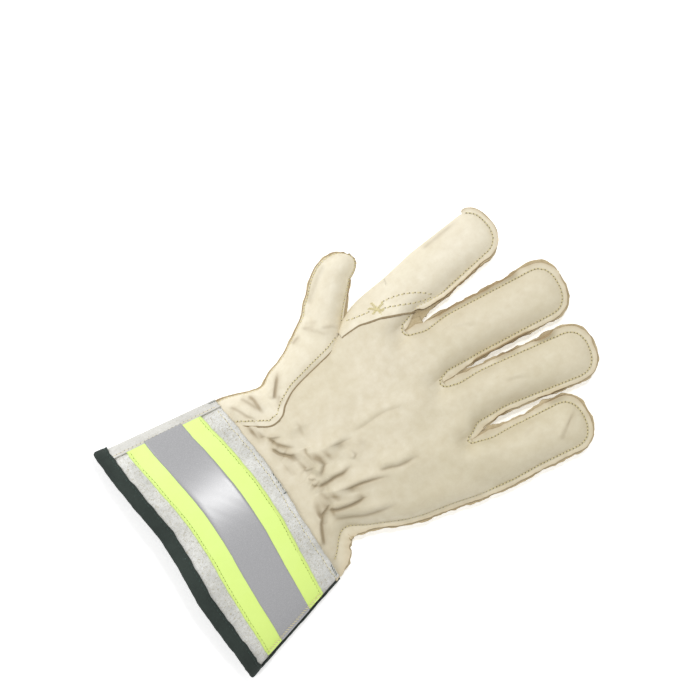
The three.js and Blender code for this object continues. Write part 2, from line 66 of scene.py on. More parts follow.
def add_softbox(name, place, size, power):
    """A square area light that faces the middle of the hand."""
    light = bpy.data.lights.new(name, "AREA")
    light.size = size
    light.energy = power
    lamp = bpy.data.objects.new(name, light)
    lamp.location = place
    lamp.rotation_mode = "QUATERNION"
    lamp.rotation_quaternion = (Vector(place) - Vector(HAND_MIDDLE)).to_track_quat("Z", "Y")
    scene.collection.objects.link(lamp)


add_softbox("key_softbox", (-0.6, 1.3, 1.3), 0.8, 10.5)
add_softbox("top_softbox", (0.57, 0.37, 2.25), 0.25, 18.0)
world = bpy.data.worlds.new("studio")
world.use_nodes = True
world.node_tree.nodes["Background"].inputs["Color"].default_value = (1.0, 1.0, 1.0, 1.0)
world.node_tree.nodes["Background"].inputs["Strength"].default_value = ROOM_LIGHT
scene.world = world


def add_material(name, colour, roughness, specular=0.5):
    """A new material with plain values on its shader. Returns it with its node tree and shader."""
    made = bpy.data.materials.new(name)
    made.use_nodes = True
    shader = made.node_tree.nodes["Principled BSDF"]
    shader.inputs["Base Color"].default_value = (*colour, 1.0)
    shader.inputs["Roughness"].default_value = roughness
    shader.inputs["Specular IOR Level"].default_value = specular
    return made, made.node_tree, shader


paper, _, paper_shader = add_material("pale_paper", (0.93, 0.93, 0.93), 0.9, 0.2)
paper_shader.inputs["Emission Color"].default_value = (1.0, 1.0, 1.0, 1.0)
paper_shader.inputs["Emission Strength"].default_value = FLOOR_GLOW
floor_mesh = bpy.data.meshes.new("floor")
floor_corners = FLOOR_REACH * np.array([(-1, -1, 0), (1, -1, 0), (1, 1, 0), (-1, 1, 0)])
floor_corners -= (0, 0, FLOOR_DROP)
floor_mesh.from_pydata(floor_corners.tolist(), [], [(0, 1, 2, 3)])
floor_mesh.materials.append(paper)
floor = bpy.data.objects.new("floor", floor_mesh)
scene.collection.objects.link(floor)


# The leather: cowhide with its smooth cream grain side out. Where a cut edge or the inner side shows it
# is tan and fuzzy. Creases and rubbed places are a little darker, and the tone changes over the hide.
# Some of its colour is painted light and shade: a shade beside the creases, on the rims, in the thumb's
# dent, in the forks and over the little-finger side, and a lighter copy of the leather on the thumb side.
def add_node(tree, kind, **values):
    """A node with its settings, and with numbers or colours on its named inputs."""
    made = tree.nodes.new(kind)
    for key, value in values.items():
        if hasattr(made, key):
            setattr(made, key, value)
        else:
            made.inputs[key.replace("_", " ")].default_value = value
    return made


def join(tree, value, target):
    """Leads a socket to an input, or puts a number or a colour there."""
    if isinstance(value, bpy.types.NodeSocket):
        tree.links.new(value, target)
    else:
        target.default_value = value if np.isscalar(value) else (*value, 1.0)


def blended(tree, factor, first, second, mode="MIX"):
    """Socket with a colour between two, which are colours or sockets. The factor is a socket or number."""
    made = tree.nodes.new("ShaderNodeMix")
    made.data_type = "RGBA"
    made.blend_type = mode
    for place, value in ((0, factor), (6, first), (7, second)):
        join(tree, value, made.inputs[place])
    return made.outputs[2]


def worked(tree, operation, first, second=0.0, third=0.0, clamp=False):
    """Socket with the result of a sum on sockets or numbers."""
    made = tree.nodes.new("ShaderNodeMath")
    made.operation = operation
    made.use_clamp = clamp
    for place, value in zip(made.inputs, (first, second, third)):
        join(tree, value, place)
    return made.outputs[0]


def shared(tree, first, share, second, other_share):
    """Socket with the sum of two values, each times its share."""
    return worked(tree, "MULTIPLY_ADD", first, share, worked(tree, "MULTIPLY", second, other_share))


def ranged(tree, value, low, high, to_low=0.0, to_high=1.0):
    """Socket with a value taken from one range to another, and held at its ends."""
    made = add_node(tree, "ShaderNodeMapRange")
    names = ("Value", "From Min", "From Max", "To Min", "To Max")
    for key, number in zip(names, (value, low, high, to_low, to_high)):
        join(tree, number, made.inputs[key])
    return made.outputs["Result"]


def new_group(name, inputs, outputs):
    """An empty node group with named number inputs and outputs. Returns it with its two end nodes."""
    group = bpy.data.node_groups.new(name, "ShaderNodeTree")
    for key, value in inputs.items():
        socket = group.interface.new_socket(key, in_out="INPUT", socket_type="NodeSocketFloat")
        socket.default_value = value
    for key in outputs:
        group.interface.new_socket(key, in_out="OUTPUT", socket_type="NodeSocketFloat")
    return group, group.nodes.new("NodeGroupInput"), group.nodes.new("NodeGroupOutput")


def object_place(tree):
    """Socket with the place on the object, in metres."""
    return add_node(tree, "ShaderNodeTexCoord").outputs["Object"]


def cloud_noise(tree, place, scale, detail=3.0, roughness=0.55, distortion=0.0):
    """Socket with smooth noise, its scale in lumps to the metre."""
    made = add_node(tree, "ShaderNodeTexNoise", Detail=detail, Roughness=roughness, Distortion=distortion)
    join(tree, place, made.inputs["Vector"])
    join(tree, scale, made.inputs["Scale"])
    return made.outputs["Fac"]


def make_hide_group():
    """Marks of the hide. Its first output: broad patches of tone from 0 to 1, with a painted shade added
    that darkens the little-finger side; Mottle, small ones; Pores, height of the fine cells of the grain,
    which are wrinkled where Wrinkle is high; Scuffs, rare rubbed streaks."""
    group, start, end = new_group("hide_marks", {"Wrinkle": 0.0}, ("Tone_and_shade", "Mottle", "Pores", "Scuffs"))
    place = object_place(group)
    apart = add_node(group, "ShaderNodeSeparateXYZ")
    join(group, place, apart.inputs[0])
    # Painted shade: the tone grows darker toward the little-finger side, at low Y, where less light falls
    aside = ranged(group, apart.outputs["Y"], 0.035, -0.075, 0.0, 0.45)
    patches = ranged(group, cloud_noise(group, place, 22.0, 4.0), 0.3, 0.72, 0.0, 0.75)
    tone = worked(group, "ADD", patches, aside)
    mottle = ranged(group, cloud_noise(group, place, 170.0, 5.0, 0.65), 0.3, 0.72)
    cells = add_node(group, "ShaderNodeTexVoronoi", feature="SMOOTH_F1", Scale=1250.0, Randomness=1.0)
    join(group, place, cells.inputs["Vector"])
    soft = cloud_noise(group, place, 420.0, 4.0, 0.6, 0.4)
    ridges = cloud_noise(group, place, 230.0, 2.0, 0.5, 2.2)
    folded = worked(group, "MULTIPLY", ridges, start.outputs["Wrinkle"])
    pores = shared(group, cells.outputs["Distance"], 0.35, soft, 0.65)
    pores = worked(group, "MULTIPLY_ADD", folded, 0.8, pores)
    stretch = add_node(group, "ShaderNodeMapping")
    stretch.inputs["Scale"].default_value = (1.0, 6.0, 1.0)
    stretch.inputs["Rotation"].default_value = (0.0, 0.0, 0.5)
    join(group, place, stretch.inputs["Vector"])
    scuffs = ranged(group, cloud_noise(group, stretch.outputs["Vector"], 60.0, 6.0, 0.7), 0.6, 0.76)
    for key, socket in (("Tone_and_shade", tone), ("Mottle", mottle), ("Pores", pores), ("Scuffs", scuffs)):
        join(group, socket, end.inputs[key])
    return group


hide_marks = make_hide_group()


def attribute(tree, name):
    """Socket with the named number that the mesh holds at its points."""
    return add_node(tree, "ShaderNodeAttribute", attribute_name=name).outputs["Fac"]


def bumped(tree, shader, height, strength, distance):
    """Leads a height through a Bump node to the shader's normal."""
    bump = add_node(tree, "ShaderNodeBump", Strength=strength, Distance=distance)
    join(tree, height, bump.inputs["Height"])
    join(tree, bump.outputs["Normal"], shader.inputs["Normal"])


# Tints of the marks of the hide: mottles, scuffs, the rims (wear, and painted shade where they curl down),
# raw cut edges, and painted shade
MOTTLE_TINT = (0.63, 0.54, 0.38)
SCUFF_TINT = (0.5, 0.42, 0.3)
WORN_SHADED_RIM = (0.60, 0.50, 0.33)
RAW_EDGE = (0.36, 0.27, 0.155)
PAINTED_SHADE_TINT = (0.42, 0.39, 0.33)


def make_grain_leather(name, pale, dark, crease_shade_colour, roughness=0.5):
    """Grain side of the leather, pale to dark over the hide, browner in its creases and at its rim. Painted
    shade darkens its little-finger side, the leather beside its creases, its rims where they curl down, and
    the places that its shade number marks.
    """
    made, tree, shader = add_material(name, pale, roughness, 0.42)
    marks = add_node(tree, "ShaderNodeGroup", node_tree=hide_marks)
    join(tree, ranged(tree, attribute(tree, "crease"), 0.0, 0.5, 0.1, 1.0), marks.inputs["Wrinkle"])
    # The tone over the hide, which holds the painted shade of the little-finger side
    colour = blended(tree, ranged(tree, marks.outputs["Tone_and_shade"], 0, 1, 0.05, 0.75), pale, dark)
    fine = ranged(tree, marks.outputs["Mottle"], 0, 1, 0.0, 0.26)
    colour = blended(tree, fine, colour, MOTTLE_TINT, "MULTIPLY")
    colour = blended(tree, ranged(tree, marks.outputs["Scuffs"], 0, 1, 0.0, 0.2), colour, SCUFF_TINT)
    # Creases: a brown line along each, and a wider painted shade beside it
    creased_and_shaded = ranged(tree, attribute(tree, "crease"), 0.0, 0.8, 0.0, 0.8)
    colour = blended(tree, creased_and_shaded, colour, crease_shade_colour)
    # The rims: darker toward their cut edges, partly wear and partly painted shade where they curl down
    worn_and_shaded = ranged(tree, attribute(tree, "edge"), 0.35, 1.0, 0.0, 0.72)
    colour = blended(tree, worn_and_shaded, colour, WORN_SHADED_RIM)
    fuzz = ranged(tree, marks.outputs["Pores"], 0.25, 0.6, 0.75, 1.0)
    colour = blended(tree, worked(tree, "MULTIPLY", attribute(tree, "raw"), fuzz), colour, RAW_EDGE)
    # Painted shade, where the shade number marks the thumb's dent and the forks
    colour = blended(tree, attribute(tree, "shade"), colour, PAINTED_SHADE_TINT, "MULTIPLY")
    join(tree, colour, shader.inputs["Base Color"])
    rough = ranged(tree, marks.outputs["Mottle"], 0, 1, roughness - 0.05, roughness + 0.12)
    join(tree, rough, shader.inputs["Roughness"])
    bumped(tree, shader, marks.outputs["Pores"], 0.28, 0.00035)
    return made


def make_suede(name, pale, dark, strength=0.8):
    """Flesh side or cut edge of the leather: fuzzy fibres in two tones."""
    made, tree, shader = add_material(name, pale, 0.95, 0.2)
    place = object_place(tree)
    nap = cloud_noise(tree, place, 900.0, 5.0, 0.7, 0.6)
    patch = cloud_noise(tree, place, 130.0, 4.0, 0.6)
    mixed = shared(tree, nap, 0.55, patch, 0.6)
    join(tree, blended(tree, ranged(tree, mixed, 0.38, 0.78), dark, pale), shader.inputs["Base Color"])
    bumped(tree, shader, nap, strength, 0.0005)
    return made


cream_grain = make_grain_leather(
    "cream_grain_leather", (0.785, 0.72, 0.57), (0.65, 0.59, 0.42), (0.32, 0.245, 0.14)
)
# A lighter copy of the grain leather: painted light for the pieces on the thumb side, where more light
# falls
lit_grain = make_grain_leather(
    "lit_pale_grain_leather", (0.86, 0.80, 0.65), (0.77, 0.71, 0.54), (0.36, 0.28, 0.17)
)
tan_suede = make_suede("tan_suede", (0.66, 0.56, 0.37), (0.47, 0.37, 0.21))
cut_edge = make_suede("brown_cut_edge", (0.50, 0.38, 0.22), (0.31, 0.22, 0.12))
# Materials of a piece of leather: its grain side, its flesh side and its cut edges. The second set, with
# the lighter grain, is painted light for the palm panel and the thumb's back leaf, on the thumb side
LEATHER = (cream_grain, tan_suede, cut_edge)
LIT_LEATHER = (lit_grain, tan_suede, cut_edge)


# The back panel: one piece of grain leather over the back of the hand and the backs of three fingers.
# It is sewn to the palm side with the seams outside, so beyond each line of stitches lies a raw rim of
# leather. Elastic sewn inside the wrist draws it into folds.

# Sizes are in millimetres: the height of the seams, of a rim above or below them, the width of a rim,
# how far the back panel goes on under the lapping leather, and the leather's thickness
MM = 0.001
SEAM_HEIGHT = 11.0
RIM = 1.4
RIM_WIDTH = 2.9
UNDER_LAP = 2.6
LEATHER_WALL = 1.3
# The hand's sections from the wrist to the knuckles: place along it, its two edges in plan, its height
# above and below the seams, and how peaked its top is
HAND_COLUMNS = ("along", "ulnar_x", "ulnar_y", "radial_x", "radial_y", "top", "bottom", "peak")
HAND_ROWS = np.array([
    (0.0, -60, -55.5, -60, 60, 13.2, 7.6, 1.1),
    (0.08, -50, -51.7, -48, 64.5, 12.2, 7.6, 1.05),
    (0.2, -35.5, -40.2, -35, 59, 12.4, 9.3, 0.95),
    (0.32, -21, -47.6, -20, 53, 15.3, 9.3, 0.85),
    (0.5, 3, -60.3, 2, 51, 17.5, 9.3, 0.8),
    (0.7, 28, -68, 27, 56, 17, 9.3, 0.8),
    (0.85, 43, -73, 50, 64, 14.5, 9.3, 0.8),
    (1.0, 57, -76.5, 75, 66, 11.5, 9.3, 0.8),
])
# The line of the knuckles: the little-finger side, the three forks and the index finger's side
KNUCKLES = np.array([(57, -76.5), (58.5, -43.5), (66, -6), (66, 33), (75, 66)])
# base_x, base_y, tip_x, tip_y, half width at the root, the middle and the end, top, extra rim at a tip
FINGERS = np.array([
    (60, -62, 121.5, -73.6, 15.5, 14.2, 14.4, 9.2, 1.3),
    (64, -20.5, 149, -42, 15.4, 13, 14, 8.4, 1.3),
    (67, 14.5, 157.3, 0, 16.2, 14.8, 14.8, 8.8, 1.0),
    (72, 51.5, 144.4, 55.4, 14, 15.4, 14.1, 9.4, 0),
])
TOP, CORNER = 7, 8
# How far the root of each finger is drawn toward the little finger, where its seam is hidden beneath it
ROOT_SHIFT = np.array([0, 2.7, 1.4, 0])
SHIFT_FADE = 30.0
LITTLE, RING, MIDDLE, INDEX = range(4)
# Lengths along a finger: to its middle, of its rounded end, and of the stretch drawn to the knuckles
FINGER_MIDDLE = 26.0
ROUND_TIP = 12.0
SPREAD = 9.0
# Where along the hand its one arch begins to part into fingers
PARTING = 0.74
# The lapped seam between the back panel and the thumb's leather, from under the cuff to the index finger
BACK_SEAM = np.array([
    (-70, 51), (-60, 50), (-49.1, 48), (-40.9, 42.2), (-32.5, 36.2), (-24.3, 36.5), (-18, 41.3),
    (-7.5, 45.6), (9.8, 48.2), (22.4, 49.8), (34.5, 53), (46, 52.6), (60, 48), (70.3, 42.8),
    (78, 38.6), (84, 35.4), (94, 32),
])
# Columns of points across a finger and rows along the pieces
ACROSS = 48
RINGS = ACROSS // 2
SIDE_STEPS = 56
CAP_STEPS = 30
HAND_STEPS = 170


def smooth(t):
    """An even rise from 0 to 1 between t = 0 and t = 1."""
    t = np.clip(t, 0.0, 1.0)
    return t * t * (3 - 2 * t)


def mix(a, b, t):
    """a where t is 0, b where t is 1."""
    return a + (b - a) * t


def hand_row(column, along):
    """A column of HAND_ROWS at any distance along the hand, on Hermite curves through its rows."""
    at, value = HAND_ROWS[:, 0], HAND_ROWS[:, HAND_COLUMNS.index(column)]
    before, after = np.r_[0, np.arange(len(at) - 1)], np.r_[np.arange(1, len(at)), len(at) - 1]
    slope = (value[after] - value[before]) / (at[after] - at[before])
    i = np.clip(np.searchsorted(at, along, side="right") - 1, 0, len(at) - 2)
    span = at[i + 1] - at[i]
    t = (along - at[i]) / span
    rise = (3 - 2 * t) * t * t
    swing = span * (t * (1 - t) ** 2 * slope[i] - t * t * (1 - t) * slope[i + 1])
    return (1 - rise) * value[i] + rise * value[i + 1] + swing


def hand_plan(along, k):
    """Plan of a point of the hand. k counts the fingers' widths from the little finger's side, 0 to 4.
    The point lies between the two edges of its row, and is drawn to the fork line as along nears 1."""
    finger = np.minimum(np.floor(k).astype(int), 3)
    v = -np.cos(np.pi * (k - finger))
    w = k / 2 - 1
    spread = mix(np.sin(np.pi * w / 2), w, 0.65 + 0.35 * smooth(along))
    t = ((spread + 1) / 2)[..., None]
    ulnar = np.stack([hand_row("ulnar_x", along), hand_row("ulnar_y", along)], -1)
    radial = np.stack([hand_row("radial_x", along), hand_row("radial_y", along)], -1)
    fork = mix(KNUCKLES[finger], KNUCKLES[finger + 1], ((v + 1) / 2)[..., None])
    plan = mix(ulnar, radial, t) + along[..., None] ** 3 * (fork - mix(KNUCKLES[0], KNUCKLES[4], t))
    return plan, spread, v, finger


def arch(v):
    """Full section across the hand, v from -1 to 1: flatter on top than a circle."""
    return np.clip(1 - np.abs(v) ** 2.7, 0, 1) ** 0.6


def finger_arch(v):
    """Full section across a finger or the thumb: it comes down to its seams at a slant."""
    return np.clip(1 - np.abs(v) ** 2.5, 0, 1) ** 0.9


def flat_arch(v):
    """Section that is flat but for its two turned-up sides."""
    return np.clip(1 - v**6, 0, 1) ** 0.5


def through(table, u):
    """A table of numbers at any station u, on Catmull-Rom curves through its rows."""
    last = len(table) - 1
    i = np.clip(np.floor(u).astype(int), 0, last - 1)
    t = (u - i)[..., None]
    p0, p1, p2, p3 = table[np.maximum(i - 1, 0)], table[i], table[i + 1], table[np.minimum(i + 2, last)]
    bend = 2 * p0 - 5 * p1 + 4 * p2 - p3
    twist = 3 * p1 - p0 - 3 * p2 + p3
    return 0.5 * (2 * p1 + (p2 - p0) * t + bend * t**2 + twist * t**3)


# Folds of the back: height and width of the swell on the left of each crease, depth of its colour, a
# brown line with a painted shade beside it, and the points that the crease runs through
BACK_FOLDS = (
    (1.7, 4.5, 0.9, ((-33.2, -10.9), (-25.7, -12), (-20.5, -12.2), (-15.2, -13.2), (-10.3, -12.7),
        (-6, -12.9))),
    (1.6, 4.5, 0.8, ((-34.8, -17), (-30.8, -20.7), (-25.5, -21.7), (-12.8, -24), (-6, -26.1),
        (1, -28.8), (9.8, -33.2))),
    (2, 5, 1, ((-35.8, -25.3), (-32, -28.4), (-27.3, -30.2), (-22.3, -31.6), (-16.8, -32.4),
        (-12.1, -32.2), (-6.8, -31.2))),
    (1.9, 4.5, 1, ((-37, -32), (-31.6, -34.9), (-26.2, -37.8), (-19.9, -41.5), (-12.1, -44.3),
        (-4.7, -46.5), (1.6, -48.2))),
    (0.9, 2, 0.5, ((-44, -26.7), (-41.2, -22), (-38, -18.3), (-34.2, -16.3), (-30.8, -14.7))),
    (1, 2.2, 0.7, ((-43.6, -26.2), (-39.6, -25.4), (-35.9, -24.5), (-30.5, -22.4))),
    (1.6, 3, 0.9, ((-50.7, -42.1), (-47.6, -36.1), (-44.1, -30.4), (-39.7, -26.1), (-37.2, -24.2))),
    (0.6, 1.6, 0.4, ((-33.2, -25), (-34.1, -28.1), (-35.4, -32.4))),
    (2.2, 6, 0.6, ((-28.3, -7.4), (-24, -4.7), (-19.2, -1.4), (-14, 1.5), (-8.9, 2.2), (-2.8, 1.6),
        (3.9, 0.1))),
    (0.8, 3, 0.3, ((-5.3, -11.1), (0.6, -7.3), (5.9, -5.2), (10.5, -4.1))),
    (1.6, 7, 0.5, ((2.6, -24.7), (9.7, -27.4), (14.1, -29.6), (19.2, -30.8), (24.7, -31.5),
        (30.2, -33.3))),
    (1.5, 3, 0.9, ((-45.2, 43.5), (-44.1, 40), (-42.3, 36.4), (-40.8, 33.4), (-37.9, 31.2))),
    (1.3, 3.2, 0.65, ((-39.2, 30.8), (-37.7, 28.4), (-36.2, 24.3), (-32.8, 19.8), (-30.6, 17.7),
        (-28, 15.8))),
    (1.6, 3.4, 0.95, ((-41.2, 25.2), (-39.9, 22.5), (-38.6, 19.2), (-36.2, 16.3), (-33.7, 13.6),
        (-30.1, 11.3), (-27, 9.5))),
    (1.5, 3.8, 0.95, ((-34.2, 5), (-32.2, 4.6), (-28.7, 4.2), (-25.3, 3.6), (-21.2, 3.1),
        (-17.8, 3.5), (-14.5, 4.2))),
    (0.7, 3.5, 0.3, ((-17, 28.7), (-19.7, 23.2), (-21.9, 17.2))),
    (1.0, 3, 0.5, ((-24.3, 13), (-25.6, 10.2), (-26.6, 7.9))),
    (0.7, 2.6, 0.25, ((-42.2, 14.4), (-39.9, 7.3), (-38, 1.5))),
    (0.8, 2, 0.25, ((-34.3, -3.3), (-32.3, -5.6), (-29.3, -6.7))),
    (0.9, 2.4, 0.3, ((-39.7, 31.7), (-35.6, 28.3), (-30.7, 25.9))),
    (0.8, 2, 0.3, ((-33.0, 1.3), (-29.3, 0.2), (-25.3, -0.5))),
    (0.9, 2, 0.4, ((-34.6, -6.8), (-33.0, -9.7), (-30.3, -10.0))),
    (0.7, 6, 0.1, ((3.9, 3.1), (13.6, 1.9), (24, 1.6), (31.6, -0.3), (42.1, -4.5), (50, -8.1))),
)
# Soft rises and dents of the back: x, y, radius along X and along Y, height
BACK_DENTS = np.array([
    (54, 12, 6, 14, -0.7),
    (50, -26, 6, 14, -0.8),
    (-20.5, 22, 5, 3, -1.0),
    (-25.3, 10.6, 3.4, 3.4, -1.3),
    (-37.5, 6, 7, 2.5, -0.6),
    (34, -6, 16, 9, 0.7),
    (20, 24, 18, 8, 0.6),
    (24, -48, 12, 8, -0.8),
    (-22, 26, 7, 5, 1.0),
    (-24, 10, 8, 4, 1.1),
    (-26, -4.5, 8, 4, 1.3),
    (-28, -19, 7, 4, 1.0),
    (44, 40, 8, 10, 0.5),
    (-44, 12, 4, 14, 0.8),
    (-44, -14, 4, 10, 0.7),
])
# The elastic sewn under the back of the wrist: its line, the depth and width of the furrow over it, and
# the height and spacing of the puffs of leather beside it
ELASTIC = np.array([
    (-38.5, 31.3), (-36.4, 25.1), (-34.4, 17.6), (-32, 9.8), (-31, 2.1), (-30.6, -6.5),
    (-30.9, -13.8), (-33, -20.6), (-38.2, -26.5), (-44.6, -33.1),
])
ELASTIC_DEPTH = 1.2
ELASTIC_WIDTH = 3.4
GATHER = 0.7
GATHER_PITCH = 4.7


def path_place(plan, path):
    """For each point in plan: how far along a path its nearest point is, and its distance from the path,
    above zero on the left of its way."""
    along = path[1:] - path[:-1]
    length = norm(along, axis=1)
    t = np.clip(((plan[..., None, :] - path[:-1]) * along).sum(-1) / length**2, 0, 1)
    offset = plan[..., None, :] - (path[:-1] + t[..., None] * along)
    distance = norm(offset, axis=-1)
    near = distance.argmin(-1)[..., None]
    turned = offset[..., 1] * along[:, 0] - offset[..., 0] * along[:, 1]
    done = np.r_[0, np.cumsum(length)[:-1]] + t * length
    done, distance, turned = (
        np.take_along_axis(value, near, -1)[..., 0] for value in (done, distance, turned)
    )
    return done, distance * np.sign(turned), length.sum()


# How much higher the folds stand than in their tables, and half the width of a crease and of the painted
# shade beside it
FOLD_RISE = 1.8
CREASE = 0.95
CREASE_SHADE = 2.6


def fold_height(plan, folds):
    """Height of the folds at each point in plan, and how deep the colour of their creases is there: a brown
    line with a painted shade beside it.

    Each fold has a narrow furrow along a curve. On the left of it the leather swells up steeply and sinks
    away over the fold's width, on the right it rises less. A fold fades toward its end."""
    flat = plan.reshape(-1, 2)
    height, crease = np.zeros(len(flat)), np.zeros(len(flat))
    for rise, width, depth, corners in folds:
        corners = np.array(corners, float)
        path = through(corners, np.linspace(0, len(corners) - 1, 30))
        inside = ((flat > path.min(0) - 3 * width) & (flat < path.max(0) + 3 * width)).all(1)
        done, aside, total = path_place(flat[inside], path)
        fade = smooth(done / total / 0.14) * smooth((total - done) / total / 0.42)
        left, right = np.maximum(aside, 0), np.maximum(-aside, 0)
        steep = max(0.32 * width, CREASE)
        swell = (1 - np.exp(-((left / steep) ** 1.3))) * np.exp(-((left / width / 1.2) ** 1.6))
        lip = (1 - np.exp(-((right / steep / 1.3) ** 1.3))) * np.exp(-((right / width / 0.85) ** 1.6))
        height[inside] += FOLD_RISE * rise * (swell + 0.45 * lip) * fade
        # Colour of the crease: a brown line, and a wider painted shade beside it
        line = 0.75 * np.exp(-((aside / CREASE) ** 2)) + 0.36 * np.exp(-((aside / CREASE_SHADE) ** 2))
        crease[inside] += depth * line * fade
    return height.reshape(plan.shape[:-1]), crease.reshape(plan.shape[:-1])


def ripple(t, seed):
    """A smooth uneven wave along t in millimetres, from -1 to 1, as a few sines of unlike length."""
    phase = np.random.default_rng(seed).uniform(0, 2 * np.pi, 5)
    length = np.array([31.0, 17.0, 9.3, 5.1, 3.1])
    share = np.array([0.34, 0.28, 0.2, 0.12, 0.06])
    return (share * np.sin(2 * np.pi * t[..., None] / length + phase)).sum(-1)


def gather_height(plan):
    """The gathers that the elastic draws in the leather: a furrow along it, and a row of small puffs on
    its cuff side with sharp creases between them. Returns their height and the darkening of their creases,
    which is painted shade in the hollows between the puffs."""
    done, side, total = path_place(plan, ELASTIC)
    phase = done / GATHER_PITCH + 0.45 * ripple(done, 5) + 0.06 * side
    puff = np.abs(np.sin(np.pi * phase)) ** 0.8
    lively = 0.6 + 0.6 * ripple(done * 1.3, 8)
    reach = np.where(side < 0, np.exp(-(((side + 1.3) / 3.4) ** 2)), np.exp(-((side / 1.7) ** 2)) * 0.86)
    ends = smooth(done / 6) * smooth((total - done) / 6)
    furrow = ELASTIC_DEPTH * np.exp(-(((side - 1) / ELASTIC_WIDTH) ** 2))
    crease = (1 - puff) ** 2 * reach * lively * ends
    return (GATHER * lively * puff * reach - furrow) * ends, 0.6 * crease


def path_distance(plan, path):
    """Distance in plan from each point to a path of straight stretches."""
    along = path[1:] - path[:-1]
    t = ((plan[..., None, :] - path[:-1]) * along).sum(-1) / (along**2).sum(-1)
    nearest = path[:-1] + np.clip(t, 0, 1)[..., None] * along
    return norm(plan[..., None, :] - nearest, axis=-1).min(-1)


def with_height(plan, height):
    """Points in plan given their heights."""
    return np.concatenate([plan, np.broadcast_to(height, plan.shape[:-1])[..., None]], -1)


def rim_share(finger, v):
    """How much of the rim's height a point gets: all at the seams, none in the middle of a finger or on
    the thumb's side of the index finger, where the leather is folded round without a seam."""
    return np.abs(v) * np.where((finger == INDEX) & (v > 0), 0.0, 1.0)


# How far the seams beside each fork keep clear of its slit, for the five ends of the line of knuckles,
# how soon they come together, and how much the leather between the fingers stands above the seams
FORK_INSETS = np.array([0, 2.2, 2.9, 3.7, 0])
FORK_FADE = 26.0
FORK_LIFT = 6.5
FORK_REACH = 17.0


def seam_inset(finger, a, side):
    """How far the seam of a finger keeps clear of a fork's slit, at the distance a from its root."""
    return FORK_INSETS[finger + (np.asarray(side) > 0)] * (1 - smooth(a / FORK_FADE))


def half_root(finger):
    """Half of the width of a finger at its root."""
    return norm(KNUCKLES[finger + 1] - KNUCKLES[finger], axis=-1) / 2


def fork_clear(finger, v, a=0.0):
    """v stretched so that it reaches 1 at the seams beside a fork, and stays 1 in the fork."""
    return np.clip(v / (1 - seam_inset(finger, a, v) / half_root(finger)), -1, 1)


def fork_lift(plan):
    """How much the leather stands up round the forks between the fingers."""
    away = ((plan[..., None, :] - KNUCKLES[1:4]) ** 2).sum(-1)
    return FORK_LIFT * np.exp(-away / FORK_REACH**2).sum(-1)


def finger_part(along):
    """How far the hand has parted into fingers: 0 up to PARTING, and 1 at the knuckles."""
    return smooth((along - PARTING) / (1 - PARTING)) ** 1.9


def hand_top(along, k):
    """Upper side of the hand, with the creases there, for rows along it and a grid of k. Each row is an
    arch between its edges, which parts into one arch for each finger, and the folds are laid on it."""
    along = np.repeat(along[:, None], k.shape[1], 1)
    plan, spread, v, finger = hand_plan(along, k)
    folds, crease = fold_height(plan, BACK_FOLDS)
    for x, y, rx, ry, rise in BACK_DENTS:
        folds += rise * np.exp(-(((plan[..., 0] - x) / rx) ** 2) - ((plan[..., 1] - y) / ry) ** 2)
    gathers, gather_crease_and_shade = gather_height(plan)
    folds, crease = folds + gathers, crease + gather_crease_and_shade
    inside = np.minimum(1, 4 * (1 - np.abs(spread)))
    parted = finger_part(along)
    crown = hand_row("top", along) * arch(spread) ** hand_row("peak", along)
    clear = fork_clear(finger, v)
    valley = mix(1 - np.exp(-(((1 - np.abs(clear)) / 0.45) ** 2)), finger_arch(clear), parted**2)
    edge = smooth((np.abs(k - 2) - 1.2) / 0.8)
    valley = 1 - (1 - valley) * mix(0.1 + 0.9 * parted**1.6, 1.0, edge)
    body = mix(crown + folds * inside * (1 - along**6), FINGERS[finger, TOP] * valley, parted)
    height = SEAM_HEIGHT + np.hypot(np.maximum(body, 0), RIM * rim_share(finger, clear))
    return with_height(plan, height), crease * inside


def finger_axes(finger):
    """Root, axis and across directions of a finger in plan, and where its rounded end begins."""
    base, tip = FINGERS[finger, :2], FINGERS[finger, 2:4]
    axis = (tip - base) / norm(tip - base)
    return base, axis, np.array((-axis[1], axis[0])), norm(tip - base) - ROUND_TIP


def finger_plan(finger, a, v):
    """Plan of a point of a finger, a from its root and at the fraction v of its half width.
    Near the root it is drawn to the line between the two forks."""
    base, axis, across, cap_start = finger_axes(finger)
    root, middle, end = FINGERS[finger, 4:7]
    far = (a - FINGER_MIDDLE) / (cap_start - FINGER_MIDDLE)
    wide = np.where(a < FINGER_MIDDLE, mix(root, middle, a / FINGER_MIDDLE), mix(middle, end, far))
    shift = ROOT_SHIFT[finger] * (1 - smooth(a / SHIFT_FADE))
    fork = mix(KNUCKLES[finger], KNUCKLES[finger + 1], ((v + 1) / 2)[..., None])
    at_root = base + across * (v * root - ROOT_SHIFT[finger])[..., None]
    straight = base + axis * a[..., None] + across * (v * wide - shift)[..., None]
    return straight + (fork - at_root) * (1 - smooth(a / SPREAD))[..., None]


